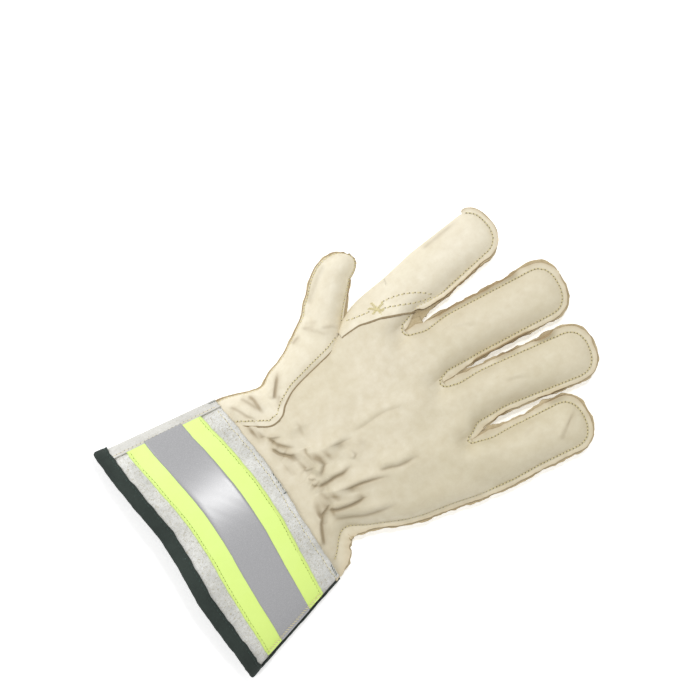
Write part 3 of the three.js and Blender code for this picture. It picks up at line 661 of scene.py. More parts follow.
def finger_outline(finger):
    """Seam and spine of a finger in plan. The seam runs from the root along the little-finger side, round
    the tip and back, the tip being a squarish ellipse. With them go the distance from the root and the
    side, -1 to 1, of each point."""
    base, axis, across, cap_start = finger_axes(finger)
    a = np.linspace(0, cap_start, SIDE_STEPS)
    turn = np.linspace(-np.pi / 2, np.pi / 2, CAP_STEPS + 1)[1:-1]
    c, s = np.cos(turn), np.sin(turn)
    squarish = np.sign(s) * np.abs(s) ** 0.86
    cap = base + axis * (cap_start + ROUND_TIP * c**0.86)[:, None]
    cap = cap + across * (FINGERS[finger, 6] * squarish)[:, None]
    centre = np.repeat((base + axis * cap_start)[None], len(turn), 0)
    one = np.ones_like(a)
    left, right = (side * (one - seam_inset(finger, a, side) / half_root(finger)) for side in (-1, 1))
    seam = np.r_[finger_plan(finger, a, left), cap, finger_plan(finger, a, right)[::-1]]
    middle = finger_plan(finger, a, 0 * one)
    around = np.r_[a, cap_start + ROUND_TIP * c, a[::-1]]
    return seam, np.r_[middle, centre, middle[::-1]], around, np.r_[-one, s, one]


SEAMS = [finger_outline(finger) for finger in range(4)]
RING_SHARES = np.sin(np.pi * np.arange(RINGS + 1) / ACROSS)


def finger_rings(finger, shares=RING_SHARES):
    """Plan of a finger as rows from its spine (share 0) to its seam (share 1)."""
    seam, spine = SEAMS[finger][:2]
    share = np.broadcast_to(shares, (len(seam), shares.shape[-1]))[..., None]
    return spine[:, None] + share * (seam - spine)[:, None]


def unit(vectors):
    """Vectors divided by their lengths."""
    return vectors / norm(vectors, axis=1)[:, None]


def outward(path):
    """Unit vectors in plan at right angles to a path, to the right of its way."""
    way = unit(np.gradient(path[:, :2], axis=0))
    return np.stack([way[:, 1], -way[:, 0]], -1)


def path_length(path):
    """Distance along a path at each of its points."""
    return np.r_[0, np.cumsum(norm(np.diff(path, axis=0), axis=1))]


# Rows of points across a rim, from its seam to its cut edge. Little points of leather that stand out from
# the rims at the fingertips. The distance from a fork over which a rim turns to meet it
STRIP_SHARES = np.array([0.0, 0.1, 0.3, 0.5, 0.7, 0.85, 0.95, 1.0])
TIP_NUBS = np.array([(163.4, 2.6), (155.0, -41.0), (160.8, 5.2), (152.0, -37.6)])
NUB_HEIGHT = 1.3
NUB_WIDTH = 1.1
FORK_TURN = 7.0


def fanned(seam, start, end):
    """Directions in plan at right angles to a seam, that turn toward a fork at its start and its end."""
    t, away = path_length(seam[:, :2]), outward(seam)
    for fork, place, reach in ((start, seam[0, :2], t), (end, seam[-1, :2], t[-1] - t)):
        if fork is not None:
            toward = (fork - place) / norm(fork - place)
            away = mix(away, toward, (1 - smooth(reach / FORK_TURN))[:, None])
    return unit(away)


def rim_strip(seam, width, turned, seed, wavy=0.5, uneven=0.14, nubs=None, start=None, end=None):
    """The raw rim outside a seam, as rows of points at growing distance from it. width is how far it
    stands out, and turned the angle at which it stands up, at each point of the seam. start and end are
    the forks that it begins and ends at."""
    t = path_length(seam[:, :2])
    way_out = fanned(seam, start, end)
    reach = width * (1 + uneven * ripple(t, seed) + 0.5 * uneven * ripple(t * 3.1, seed + 3))
    if nubs is not None:
        edge = seam[:, :2] + way_out * reach[:, None]
        near = norm(edge[:, None] - nubs[None], axis=-1)
        reach = reach + (NUB_HEIGHT * np.exp(-((near / NUB_WIDTH) ** 2))).sum(1)
    bend = turned[:, None] * smooth(STRIP_SHARES * 2.2)[None]
    step = np.diff(STRIP_SHARES, prepend=0)[None] * reach[:, None]
    away, lift = np.cumsum(step * np.cos(bend), 1), np.cumsum(step * np.sin(bend), 1)
    wave = wavy * (ripple(t, seed + 7) + 0.4 * ripple(t * 2.3, seed + 9))[:, None]
    wave = wave * STRIP_SHARES[None] ** 1.5
    plan = seam[:, None, :2] + way_out[:, None] * away[..., None]
    return with_height(plan, seam[:, 2:] + lift + wave)


def patch(points, up=True, **values):
    """A grid of points in millimetres whose faces look up or down, with named numbers at its points. The
    leather round the forks is lifted here, the same for all patches."""
    lift = fork_lift(points[..., :2])[..., None] * (0, 0, 1)
    return {"points": points + lift, "up": up, "values": values}


def rim_patch(*strip, up=True, **wave):
    """A raw rim as a patch. Its edge number grows from its seam to its cut edge, and darkens the rim there,
    partly as wear and partly as painted shade where it curls down.
    """
    return patch(rim_strip(*strip, **wave), up, edge=STRIP_SHARES)


# Metres within which the points of two patches become one
WELD = 2e-5


def grid_faces(rows, columns, start):
    """Faces of a grid of points whose numbers count from start, as the numbers of their corners."""
    index = start + np.arange(rows * columns).reshape(rows, columns)
    return np.stack([index[:-1, :-1], index[:-1, 1:], index[1:, 1:], index[1:, :-1]], -1).reshape(-1, 4)


def grid_normals(grid):
    """Normals of the cells of a grid of points, each as long as its cell's area."""
    return np.cross(grid[:-1, 1:] - grid[:-1, :-1], grid[1:, :-1] - grid[:-1, :-1])


def new_mesh(name, points, faces):
    """A mesh of points in millimetres and faces, shaded smooth."""
    mesh = bpy.data.meshes.new(name)
    mesh.from_pydata((points * MM).tolist(), [], faces)
    mesh.polygons.foreach_set("use_smooth", np.ones(len(faces), bool))
    return mesh


def welded_mesh(name, patches):
    """A mesh of patches, welded along the points that they share."""
    keys = sorted({key for piece in patches for key in piece["values"]})
    points, faces, start, values = [], [], 0, {key: [] for key in keys}
    for piece in patches:
        grid = piece["points"]
        rows, columns = grid.shape[:2]
        quads = grid_faces(rows, columns, start)
        facing_up = grid_normals(grid)[..., 2].sum() > 0
        points.append(grid.reshape(-1, 3))
        faces.append(quads if facing_up == piece["up"] else quads[:, ::-1])
        for key in keys:
            values[key].append(np.broadcast_to(piece["values"].get(key, 0.0), (rows, columns)).ravel())
        start += rows * columns
    mesh = new_mesh(name, np.concatenate(points), np.concatenate(faces).tolist())
    for key in keys:
        layer = mesh.attributes.new(key, "FLOAT", "POINT")
        layer.data.foreach_set("value", np.concatenate(values[key]).astype(np.float32))
    work = bmesh.new()
    work.from_mesh(mesh)
    bmesh.ops.remove_doubles(work, verts=work.verts, dist=WELD)
    bmesh.ops.dissolve_degenerate(work, edges=work.edges, dist=WELD / 20)
    work.to_mesh(mesh)
    work.free()
    return mesh


def add_piece(name, mesh, materials, node=None):
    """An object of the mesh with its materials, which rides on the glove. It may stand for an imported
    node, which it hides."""
    for material in materials:
        mesh.materials.append(material)
    made = bpy.data.objects.new(name, mesh)
    scene.collection.objects.link(made)
    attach(made, "root")
    if node:
        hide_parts(node)
    return made


def add_wall(made, thickness, inner=1, edge=2):
    """Gives a surface its thickness toward its inner side, where it takes the material inner steps on in
    its list, and edge steps on at its cut edges."""
    wall = made.modifiers.new("wall", "SOLIDIFY")
    wall.thickness = thickness * MM
    wall.offset = -1.0
    wall.material_offset = inner
    wall.material_offset_rim = edge


def add_leather(node, patches, materials, thickness=LEATHER_WALL):
    """A piece of leather welded from its patches, with its thickness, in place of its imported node."""
    made = add_piece(f"{node}_leather", welded_mesh(node, patches), materials, node)
    add_wall(made, thickness)


# Steps in which a crossing is looked for
SEARCH = 400
along_rows = np.interp(np.linspace(0, 1, HAND_STEPS), (0, 0.06, 0.62, 1), (0, 0.08, 0.5, 1))


def across_seam(seam, along, low):
    """k of each row of the hand where it crosses a seam in plan, looked for from k = low."""
    k = np.linspace(low, 4.0, SEARCH)
    plan = hand_plan(*np.meshgrid(along, k, indexing="ij"))[0]
    over = plan[..., 1] - np.interp(plan[..., 0], *seam.T)
    first = np.where((over > 0).any(1), np.maximum((over > 0).argmax(1), 1), SEARCH - 1)
    row = np.arange(len(along))
    gap = over[row, first] - over[row, first - 1]
    part = np.clip(-over[row, first - 1] / np.where(gap == 0, 1, gap), 0, 1)
    return mix(k[first - 1], k[first], part)


def from_to(k_from, k_to, columns):
    """Evenly spaced columns between two values for each row."""
    return k_from[:, None] + (k_to - k_from)[:, None] * np.linspace(0, 1, columns)[None]


def finger_columns(finger):
    """k of the columns over a finger. They end at its seams, which keep clear of the forks."""
    v = np.r_[-RING_SHARES[::-1], RING_SHARES[1:]]
    v = v * (1 - seam_inset(finger, 0.0, v) / half_root(finger))
    return finger + np.arccos(-np.clip(v, -1, 1)) / np.pi


def columns_over(fingers, rows):
    """k of the columns over some fingers and the middles of the forks between them, for each row."""
    between = [np.r_[finger, finger_columns(finger)] for finger in fingers]
    return np.repeat(np.unique(np.round(np.concatenate(between), 9))[None], rows, 0)


seam_k = across_seam(BACK_SEAM, along_rows, 2.6)
beside_seam = hand_plan(along_rows, seam_k)[0] - hand_plan(along_rows, seam_k - 0.05)[0]
k_width = 20 * norm(beside_seam, axis=1)
lap_end = np.minimum(seam_k + UNDER_LAP / np.maximum(k_width, 8), 3.98)
index_fork = np.full(HAND_STEPS, float(INDEX))
finger_k = np.c_[columns_over((LITTLE, RING, MIDDLE), HAND_STEPS), index_fork]
lap_k = np.c_[index_fork, from_to(0 * index_fork + finger_columns(INDEX)[0], lap_end, RINGS)]
back_points, back_crease_and_shade = hand_top(along_rows, finger_k)
lap_points, lap_crease_and_shade = hand_top(along_rows, lap_k)
back_patches = [patch(back_points, crease=back_crease_and_shade), patch(lap_points, crease=lap_crease_and_shade)]


def index_seam_v(a):
    """Where the lapped seam crosses the index finger, as a fraction of its half width, a from its root."""
    v = np.linspace(-1, 1, SEARCH)
    plan = finger_plan(INDEX, *np.meshgrid(a, v, indexing="ij"))
    over = plan[..., 1] - np.interp(plan[..., 0], *BACK_SEAM.T)
    return np.where((over > 0).any(1), v[(over > 0).argmax(1)], 1.0)


def round_height(finger, v, share=1.0, tall=1.0):
    """Height of the upper side of a finger at the fraction v of its half width."""
    return SEAM_HEIGHT + np.hypot(tall * FINGERS[finger, TOP] * finger_arch(v), RIM * np.abs(v) * share)


# How much flatter a finger is at its tip than at its root
TIP_FLATNESS = 0.45


def tip_fall(finger, shares=RING_SHARES):
    """How much of its height a finger keeps at each point: it grows flatter toward its tip."""
    around, cap_start = SEAMS[finger][2][:, None], finger_axes(finger)[3]
    at = np.minimum(around, cap_start) + shares * np.maximum(around - cap_start, 0)
    return 1 - TIP_FLATNESS * smooth((at / cap_start - 0.45) / 0.7)


# Folds of the backs of the fingers, in the columns of the folds of the back
FINGER_FOLDS = (
    (0.35, 1.8, 0.35, ((102.9, 65.6), (111.8, 66.2), (119.9, 66.6), (129.4, 66.8), (134.9, 66.6))),
    (0.5, 3, 0.3, ((101.1, -76.9), (109.1, -72.4), (116.7, -68.3), (122.8, -65.3))),
    (0.5, 5.0, 0.1, ((88, 18), (97, 14), (104, 8))),
    (0.5, 4.0, 0.1, ((96, -28), (104, -31), (110, -36))),
    (0.4, 4.0, 0.1, ((84, -62), (92, -60), (99, -61))),
)


def finger_top(finger, height, shares=RING_SHARES):
    """Upper side of a finger as a patch, its folds laid on its height."""
    plan = finger_rings(finger, shares)
    folds, crease = fold_height(plan, FINGER_FOLDS)
    inside = np.minimum(1, 6 * (1 - np.broadcast_to(shares, plan.shape[:-1])))
    return patch(with_height(plan, height + folds * inside), crease=crease)


# The corner of the back panel on the root of the index finger, up to the lapped seam
corner_a = np.linspace(0, finger_axes(INDEX)[3], SIDE_STEPS)
corner_a = corner_a[index_seam_v(corner_a) > -0.999]
corner_v = np.minimum(index_seam_v(corner_a) + 0.14, 0.99)
corner_k = np.r_[lap_end[-1] - 3, np.arccos(-np.clip(corner_v[1:], -1, 1)) / np.pi]
corner_start = np.arccos(1 - seam_inset(INDEX, corner_a, -1) / half_root(INDEX)) / np.pi
corner_grid = -np.cos(np.pi * from_to(corner_start, corner_k, RINGS))
corner_plan = finger_plan(INDEX, np.repeat(corner_a[:, None], RINGS, 1), corner_grid)
corner_clear = fork_clear(INDEX, corner_grid, corner_a[:, None])
back_patches.append(patch(with_height(corner_plan, round_height(INDEX, corner_clear, corner_grid < 0))))
for finger in (LITTLE, RING, MIDDLE):
    back_patches.append(finger_top(finger, round_height(finger, RING_SHARES, 1.0, tip_fall(finger))))

hand_edge = hand_plan(along_rows, np.zeros(HAND_STEPS))[0]


def spare_room(path, others):
    """Half the distance in plan from each point of a seam to the nearest point of other seams."""
    apart = np.concatenate(others)
    return 0.5 * norm(path[:, None] - apart[None], axis=-1).min(1)


# How much wider the rims are in the forks, and along the edge of the hand at the wrist
FORK_FILL = 3.5
WRIST_FLANGE = 5.0
# Stretches where the rims stand up on edge: finger, side (-1 or 1), from and to along the finger, and
# the angles in degrees of the upper and of the lower rim
TURN_UPS = (
    (MIDDLE, 1, 14, 74, 50, 26),
    (MIDDLE, -1, 20, 66, 60, 30),
    (MIDDLE, -1, 72, 80, 34, 22),
    (RING, 1, 56, 74, 62, 20),
    (RING, 1, 30, 50, 30, 16),
    (RING, -1, 14, 32, 34, 10),
    (RING, -1, 44, 70, 30, 12),
    (LITTLE, 1, 44, 58, 40, 14),
    (INDEX, -1, 14, 62, 48, 36),
)


# The share of the room between two seams that the upper rims fill
FILLED = 0.98


def seam_facts(finger, lower, edge=hand_edge):
    """For a finger's seam: its plan, the room for its rim, the angle at which the rim stands up, and how
    much wider it is near a fork, which it fills, and at the thumb-side corner of the fingertip. The
    little finger's goes on along the edge of the hand."""
    seam, _, around, side = SEAMS[finger]
    room = spare_room(seam, [SEAMS[other][0] for other in range(4) if abs(other - finger) == 1])
    angle = np.zeros_like(around)
    for f, s, low, high, upper_angle, lower_angle in TURN_UPS:
        on = smooth((around - low) / 6) * smooth((high - around) / 6) * (np.sign(side) == s) * (f == finger)
        angle = np.maximum(angle, on * np.radians(lower_angle if lower else upper_angle))
    cap_start = finger_axes(finger)[3]
    wider = FINGERS[finger, CORNER] * smooth((around - cap_start + 20) / 18) * smooth(side / 0.6)
    forked = (1 - smooth((around - 3) / 20)) * (FORK_INSETS[finger + (side > 0)] > 0)
    wider += FORK_FILL * forked
    if lower:
        room = room * (1 + 0.3 * forked)
    if finger == LITTLE:
        seam, ahead = np.r_[edge[:-1], seam], np.zeros(len(edge) - 1)
        flange = WRIST_FLANGE * smooth((-20 - edge[:-1, 0]) / 13) * (0.85 if lower else 1.7)
        room, angle, wider = np.r_[ahead + 99, room], np.r_[ahead, angle], np.r_[flange, wider]
    return seam, room, angle, wider


def finger_rim(finger, seam, width, angle, seed, up=True):
    """The rim along the seam of a finger other than the index finger, from fork to fork."""
    level = with_height(seam, SEAM_HEIGHT + (RIM if up else -RIM))
    look = {"nubs": TIP_NUBS} if up else {"uneven": FLESH_WAVE}
    start = None if finger == LITTLE else KNUCKLES[finger]
    return rim_patch(level, width, angle, seed, up=up, start=start, end=KNUCKLES[finger + 1], **look)


for finger in (LITTLE, RING, MIDDLE):
    seam, room, angle, wider = seam_facts(finger, lower=False)
    width = np.minimum(RIM_WIDTH + 0.6 * wider, FILLED * room)
    back_patches.append(finger_rim(finger, seam, width, angle, 11 + finger))
corner_edge = with_height(corner_plan[:, 0], SEAM_HEIGHT + RIM)
corner_room = spare_room(corner_edge[:, :2], [SEAMS[MIDDLE][0]])
corner_width = np.minimum(2.4 + 1.6 * (1 - smooth(corner_a / 6)), FILLED * corner_room)
corner_width *= 0.1 + 0.9 * smooth((corner_a[-1] - corner_a) / 7)
back_patches.append(rim_patch(corner_edge, corner_width, 0 * corner_room, 15, start=KNUCKLES[INDEX]))
add_leather("back_panel", back_patches, LEATHER)


# The palm panel: the palm, the whole index finger, folded round on the thumb side without a seam, and
# the front of the little finger. Its raw rims show their tan flesh side beyond those of the back panel,
# and at the root of the index finger it laps over the back panel.

# The depth of the fingers below the seams, the width of the lower rims, their waviness and their width at
# the index finger, how much the lapping leather stands above the back panel, and how soon that fades
FINGER_DEPTH = 9.8
FLESH_RIM = 4.0
FLESH_WAVE = 0.2
INDEX_RIM = 4.6
LAP = 1.45
LAP_FADE = 13.0
PALM_STEPS = 110
# Where the thumb's strip ends below, where its crotch begins above, and the strip's seam below
STRIP_END, CROTCH_X = 37.0, 32.5
THUMB_STRIP_SEAM = np.array([(-70, 30), (-46, 31), (-20, 34), (6, 41), (24, 49), (34.8, 53.3), (38.5, 57)])
PALM_FOLDS = (
    (1.0, 4.0, 0.3, ((-36, 10), (-20, 6), (-4, 8))),
    (1.0, 4.0, 0.3, ((-34, -20), (-18, -24), (0, -24))),
    (0.7, 5.0, 0.3, ((30, 40), (36, 26), (34, 12))),
    (0.7, 4.0, 0.3, ((44, -60), (40, -50), (44, -38))),
)


def hand_underside(along, k):
    """Underside of the hand: flat, turned up to the seams at its edges and between the fingers."""
    along = np.repeat(along[:, None], k.shape[1], 1)
    plan, spread, v, finger = hand_plan(along, k)
    parted = finger_part(along)
    clear = fork_clear(finger, v)
    depth = mix(hand_row("bottom", along) * flat_arch(spread), FINGER_DEPTH * flat_arch(clear), parted)
    folds, crease = fold_height(plan, PALM_FOLDS)
    depth = depth - folds * np.minimum(1, 4 * (1 - np.abs(spread))) * 0.6
    height = SEAM_HEIGHT - np.hypot(np.maximum(depth, 0), RIM * rim_share(finger, clear))
    return with_height(plan, height), crease


def round_depth(v, share=1.0):
    """Height of the underside of a finger at the fraction v of its half width."""
    return SEAM_HEIGHT - np.hypot(FINGER_DEPTH * flat_arch(v), RIM * np.abs(v) * share)


def finger_under(finger, share=1.0):
    """Underside of a finger as a patch."""
    return patch(with_height(finger_rings(finger), round_depth(RING_SHARES, share)), False)


# Length of the tongue of leather below a fork
TONGUE = 11.5


def fork_tongue(fork):
    """The turned-in end of the seam in a fork: a small tongue from the line of knuckles into the slit,
    narrowing toward its end between the rims. A painted shade darkens it, as in the shaded slit."""
    left, right = SEAMS[fork - 1][0][-1], SEAMS[fork][0][0]
    axis = (finger_axes(fork)[1] + finger_axes(fork - 1)[1]) / 2
    across, along = np.linspace(-0.25, 1.25, 13), np.linspace(-0.42, 1, 14)
    span = 0.5 + (across[None, :] - 0.5) * (1 - 0.6 * smooth(along)[:, None])
    plan = mix(left, right, span[..., None]) + axis * (TONGUE * along)[:, None, None]
    return patch(with_height(plan, (SEAM_HEIGHT - 0.4 - 0.5 * along)[:, None]), False, edge=0.3, shade=0.35)


def lap_lift(plan):
    """How much the lapping leather stands above the back panel, fading away from the lapped seam."""
    return LAP * np.exp(-((path_distance(plan, BACK_SEAM) / LAP_FADE) ** 2))


palm_rows = np.linspace(0, 1, PALM_STEPS)
strip_k = across_seam(THUMB_STRIP_SEAM, palm_rows, 2.0)
strip_x = hand_plan(palm_rows, strip_k)[0][:, 0]
under_end = np.where(strip_x < STRIP_END, strip_k, 4.0)
lower_k = columns_over((LITTLE, RING, MIDDLE, INDEX), PALM_STEPS)
first_whole = int(np.argmax(under_end >= 4.0))
lower_k[:first_whole] = np.minimum(lower_k[:first_whole], under_end[:first_whole, None])
palm_points, palm_crease_and_shade = hand_underside(palm_rows, lower_k)
palm_patches = [patch(palm_points, False, crease=palm_crease_and_shade)]

# The leather that comes over onto the back, from the thumb's crotch to the root of the index finger
palm_seam_k = across_seam(BACK_SEAM, palm_rows, 2.6)
crotch_row = int(np.argmax(hand_plan(palm_rows, palm_seam_k)[0][:, 0] > CROTCH_X))
root_seam_v = index_seam_v(np.zeros(1))[0]
root_v = np.r_[root_seam_v * RING_SHARES[::-1], RING_SHARES[1:]]
fraction = (root_v - root_seam_v) / (1 - root_seam_v)
row_seam_v = -np.cos(np.pi * (palm_seam_k[crotch_row:] - 3))
row_seam_v[-1] = root_seam_v
over_v = row_seam_v[:, None] + (1 - row_seam_v)[:, None] * fraction[None]
over_k = 3 + np.arccos(-np.clip(over_v, -1, 1)) / np.pi
over_points, over_crease_and_shade = hand_top(palm_rows[crotch_row:], over_k)
over_points[..., 2] += lap_lift(over_points[..., :2]) * smooth((4 - over_k) / 0.3)
palm_patches.append(patch(over_points, crease=over_crease_and_shade))

# The index finger: its upper side begins at the lapped seam, and it is folded round, without a seam or a
# rim, on the thumb side
_, _, index_around, index_side = SEAMS[INDEX]
index_kept = 1 - seam_inset(INDEX, index_around, -1) / half_root(INDEX)
index_reach = np.clip(-index_seam_v(np.minimum(index_around, 60)) / index_kept, 0, 1)
index_reach = np.where(index_side <= -1, index_reach, 1.0)
index_cap = finger_axes(INDEX)[3]
folded = smooth((index_cap + 10 - index_around) / 12) * (index_side > 0) * smooth(index_side / 0.5)
sewn = (1 - folded)[:, None]
index_shares = index_reach[:, None] * RING_SHARES[None]
index_plan = finger_rings(INDEX, index_shares)
index_top = round_height(INDEX, index_shares, sewn, tip_fall(INDEX, index_shares))
index_top += lap_lift(index_plan) * smooth((1.02 - index_shares) / 0.1 + (index_side <= 0)[:, None])
at_fold = (index_side > 0)[:, None] & (index_shares > 0.999) & (folded[:, None] > 0.999)
index_top = np.where(at_fold, SEAM_HEIGHT, index_top)
palm_patches.append(finger_top(INDEX, index_top, index_shares))
palm_patches += [finger_under(LITTLE), finger_under(INDEX, sewn)]
palm_patches += [fork_tongue(fork) for fork in (1, 2, 3)]
palm_edge = hand_plan(palm_rows, np.zeros(PALM_STEPS))[0]
seam, room, angle, wider = seam_facts(LITTLE, lower=True, edge=palm_edge)
flesh = np.minimum(FLESH_RIM + wider, room)
palm_patches.append(finger_rim(LITTLE, seam, flesh, angle, 21, up=False))
seam, room, angle, wider = seam_facts(INDEX, lower=True)
sewn_end = int(np.argmax(folded > 0.6))
lower_level = round_depth(np.ones(len(seam)), sewn[:, 0])
narrow = smooth((0.9 - folded) / 0.75)
slim = 1 - 0.3 * smooth((index_around - index_cap) / 8)
lower_rim = (np.minimum(INDEX_RIM + wider, room) * narrow * slim)[:sewn_end]
lower_seam = with_height(seam, lower_level)[:sewn_end]
palm_patches.append(
    rim_patch(lower_seam, lower_rim, angle[:sewn_end], 24, up=False, start=KNUCKLES[INDEX])
)
sewn_start = int(np.argmax(index_reach >= 0.999))
begun = smooth((index_around - index_around[sewn_start] + 1.0) / 6.0 + (index_side > -1))
upper_rim = np.minimum(RIM_WIDTH, room * 0.94) * narrow * begun
upper_seam = with_height(seam, index_top[:, -1])
sewn_part = slice(sewn_start, sewn_end)
palm_patches.append(rim_patch(upper_seam[sewn_part], upper_rim[sewn_part], angle[sewn_part], 25))


# Rows of points down a raw edge, and the height that it comes down
RAW_SHARES = np.array([0.0, 0.2, 0.6, 1.0])
RAW_DROP = 1.5


def raw_edge(path, width, seed):
    """The raw edge of leather that laps over another piece: a narrow brown slope to the right of a path,
    from the top of the leather down to what it lies on, as a patch."""
    reach = width * (1 + 0.28 * ripple(path_length(path[:, :2]), seed))
    plan = path[:, None, :2] + outward(path)[:, None] * (reach[:, None] * RAW_SHARES)[..., None]
    return patch(with_height(plan, path[:, 2:] - RAW_DROP * RAW_SHARES**1.4), raw=smooth(RAW_SHARES / 0.2))


index_edge = with_height(index_plan, index_top)[: sewn_start + 1, -1]
palm_patches.append(raw_edge(np.r_[over_points[:-1, 0], index_edge], 1.5, 26))
add_leather("palm_panel", palm_patches, LIT_LEATHER)


# The finger fronts: one piece for the fronts of the middle and ring fingers. Its raw edge laps over the
# palm at their roots, where two rows of stitches hold it.
FRONTS_START, FRONTS_LAP = 0.9, 1.2
front_rows = np.linspace(FRONTS_START, 1.0, 12)
front_k = columns_over((RING, MIDDLE), len(front_rows))[:, 1:]
front_points, front_crease_and_shade = hand_underside(front_rows, front_k)
front_points[..., 2] -= (FRONTS_LAP * smooth((1.0 - front_rows) / 0.05))[:, None] * flat_arch(front_k - 2)
front_patches = [patch(front_points, False, crease=front_crease_and_shade)]
for finger in (RING, MIDDLE):
    seam, room, angle, wider = seam_facts(finger, lower=True)
    width = np.minimum(FLESH_RIM + np.minimum(wider, 1.0), room)
    front_patches += [finger_under(finger), finger_rim(finger, seam, width, angle, 31 + finger, up=False)]
add_leather("finger_fronts", front_patches, LEATHER)


# The thumb: a back leaf and a front leaf, sewn together round the tip with raw rims. Each has a strip
# that runs to the wrist, and the back leaf's laps over the back panel.

# Stations: outer edge x and y, inner edge x and y (the lapped seam as far as the crotch), and the height
# above and below the seams
THUMB_ROWS = np.array([
    (-60, 66, -60, 50, 9, 7.6),
    (-49.1, 66.5, -49.1, 48, 9, 7.6),
    (-38, 62.5, -40.9, 42.2, 9.5, 9),
    (-30, 59, -32.5, 36.2, 10, 9),
    (-22.5, 57.4, -24.3, 36.5, 11, 9),
    (-15, 61, -18, 41.3, 11.6, 9),
    (-5, 63.4, -7.5, 45.6, 12, 9.2),
    (5, 67.6, 9.8, 48.2, 12, 9.2),
    (14, 72.3, 22.4, 49.8, 11.5, 9.2),
    (22, 76.6, 34.5, 53, 11.2, 9.2),
    (26.0, 80.6, 39.6, 60.8, 10.8, 9),
    (32.5, 85.6, 45.6, 67.0, 10.4, 8.8),
    (39.2, 91.2, 52.2, 72.6, 10, 8.6),
    (46.0, 95.0, 58.6, 78.2, 9.4, 8.2),
])
THUMB_TIP = (65.6, 91.0)
THUMB_CROTCH = 9
THUMB_STEPS = 110
CROTCH_STEP = THUMB_STEPS * THUMB_CROTCH // (len(THUMB_ROWS) - 1)

thumb_u = np.linspace(0, len(THUMB_ROWS) - 1, THUMB_STEPS)
thumb_facts = through(THUMB_ROWS, thumb_u)
cap_turn = np.linspace(0, np.pi / 2, 20)[1:]
tube_end = THUMB_ROWS[-1]
end_middle = (tube_end[:2] + tube_end[2:4]) / 2
end_half = (tube_end[:2] - tube_end[2:4]) / 2
thumb_v = -np.cos(np.pi * np.arange(ACROSS + 1) / ACROSS)
round_end = end_middle + (np.sin(cap_turn) ** 0.9)[:, None] * (np.array(THUMB_TIP) - end_middle)
narrowed = np.r_[np.ones(THUMB_STEPS), np.cos(cap_turn) ** 0.8]
tip_rows = round_end[:, None] + thumb_v[None, :, None] * end_half * narrowed[THUMB_STEPS:, None, None]
thumb_top, thumb_low = np.r_[thumb_facts[:, 4:], np.tile(tube_end[4:], (len(cap_turn), 1))].T


def thumb_points(inner_edge):
    """Plan of the points of a leaf: rows from its inner to its outer edge, and on round the tip."""
    across = ((thumb_v + 1) / 2)[None, :, None] * (thumb_facts[:, :2] - inner_edge)[:, None]
    return np.r_[inner_edge[:, None] + across, tip_rows]


thumb_plan = thumb_points(thumb_facts[:, 2:4])


def cloud_of(patches):
    """All points of some patches."""
    return np.concatenate([piece["points"].reshape(-1, 3) for piece in patches])


def nearest(plan, cloud, count, soft):
    """For points in plan: the numbers of the nearest points of a cloud, and their weights, which are one
    over the squared distance, held down by soft."""
    square = ((plan[:, None] - cloud[None, :, :2]) ** 2).sum(-1)
    pick = np.argpartition(square, count, axis=1)[:, :count]
    return pick, 1 / (np.take_along_axis(square, pick, 1) + soft)


def height_over(plan, cloud):
    """Height at points in plan of a surface given as a cloud of points: the mean of the nearest ones."""
    pick, weight = nearest(plan, cloud, 4, 1e-6)
    return (cloud[pick, 2] * weight).sum(1) / weight.sum(1)


def before_crotch(height):
    """A height at each row of the thumb that ends at its crotch, and is 0 from there to the tip."""
    return np.r_[height * (1 - smooth((thumb_u - THUMB_CROTCH + 1.2) / 1.6)), np.zeros(len(cap_turn))]


lap_height = height_over(thumb_facts[:, 2:4], cloud_of(back_patches)) + LAP
inner_height = before_crotch(lap_height - SEAM_HEIGHT)
# Folds of the thumb, in the columns of the folds of the back, and the dent across it behind its tip
THUMB_FOLDS = (
    (0.9, 2.5, 0.5, ((-46.4, 60), (-43.8, 56.5), (-42.2, 52.6), (-40.7, 48.5), (-38.6, 45.3),
        (-36.6, 41.9))),
    (0.8, 2.2, 0.5, ((-37.7, 60.6), (-36, 56.7), (-34.4, 52.8), (-33.2, 48.5), (-32.7, 45.1))),
    (1.3, 3, 0.8, ((-32.9, 58.9), (-31.6, 54.5), (-31.7, 50.4), (-32, 46.1), (-31.5, 42.7))),
    (1.5, 3, 0.9, ((-21.7, 46.6), (-18.5, 50.3), (-13.8, 55.1), (-8.8, 60.4))),
    (0.5, 2, 0.15, ((20.2, 73), (24.2, 70.4), (28.8, 68.4))),
    (0.5, 2, 0.15, ((17.4, 71.3), (21.6, 68.9), (25.6, 67.1))),
    (0.6, 2, 0.2, ((17, 72.8), (20.5, 67.5), (23.9, 63.8), (26.3, 60.1), (31, 58))),
    (0.7, 2.2, 0.22, ((26, 65), (29.2, 62.9), (32.9, 60.8), (35.8, 57.5), (38, 55.5))),
    (0.9, 2.5, 0.5, ((6.6, 67), (10.3, 68), (14.6, 68.6))),
    (0.5, 1.5, 0.3, ((-17, 46.9), (-20.5, 44.2), (-21.7, 40.6))),
)
THUMB_DENT = np.array([(31, 81.6), (37.5, 86.2), (43.8, 90.4), (49, 93)])
DENT_DEPTH = 1.4


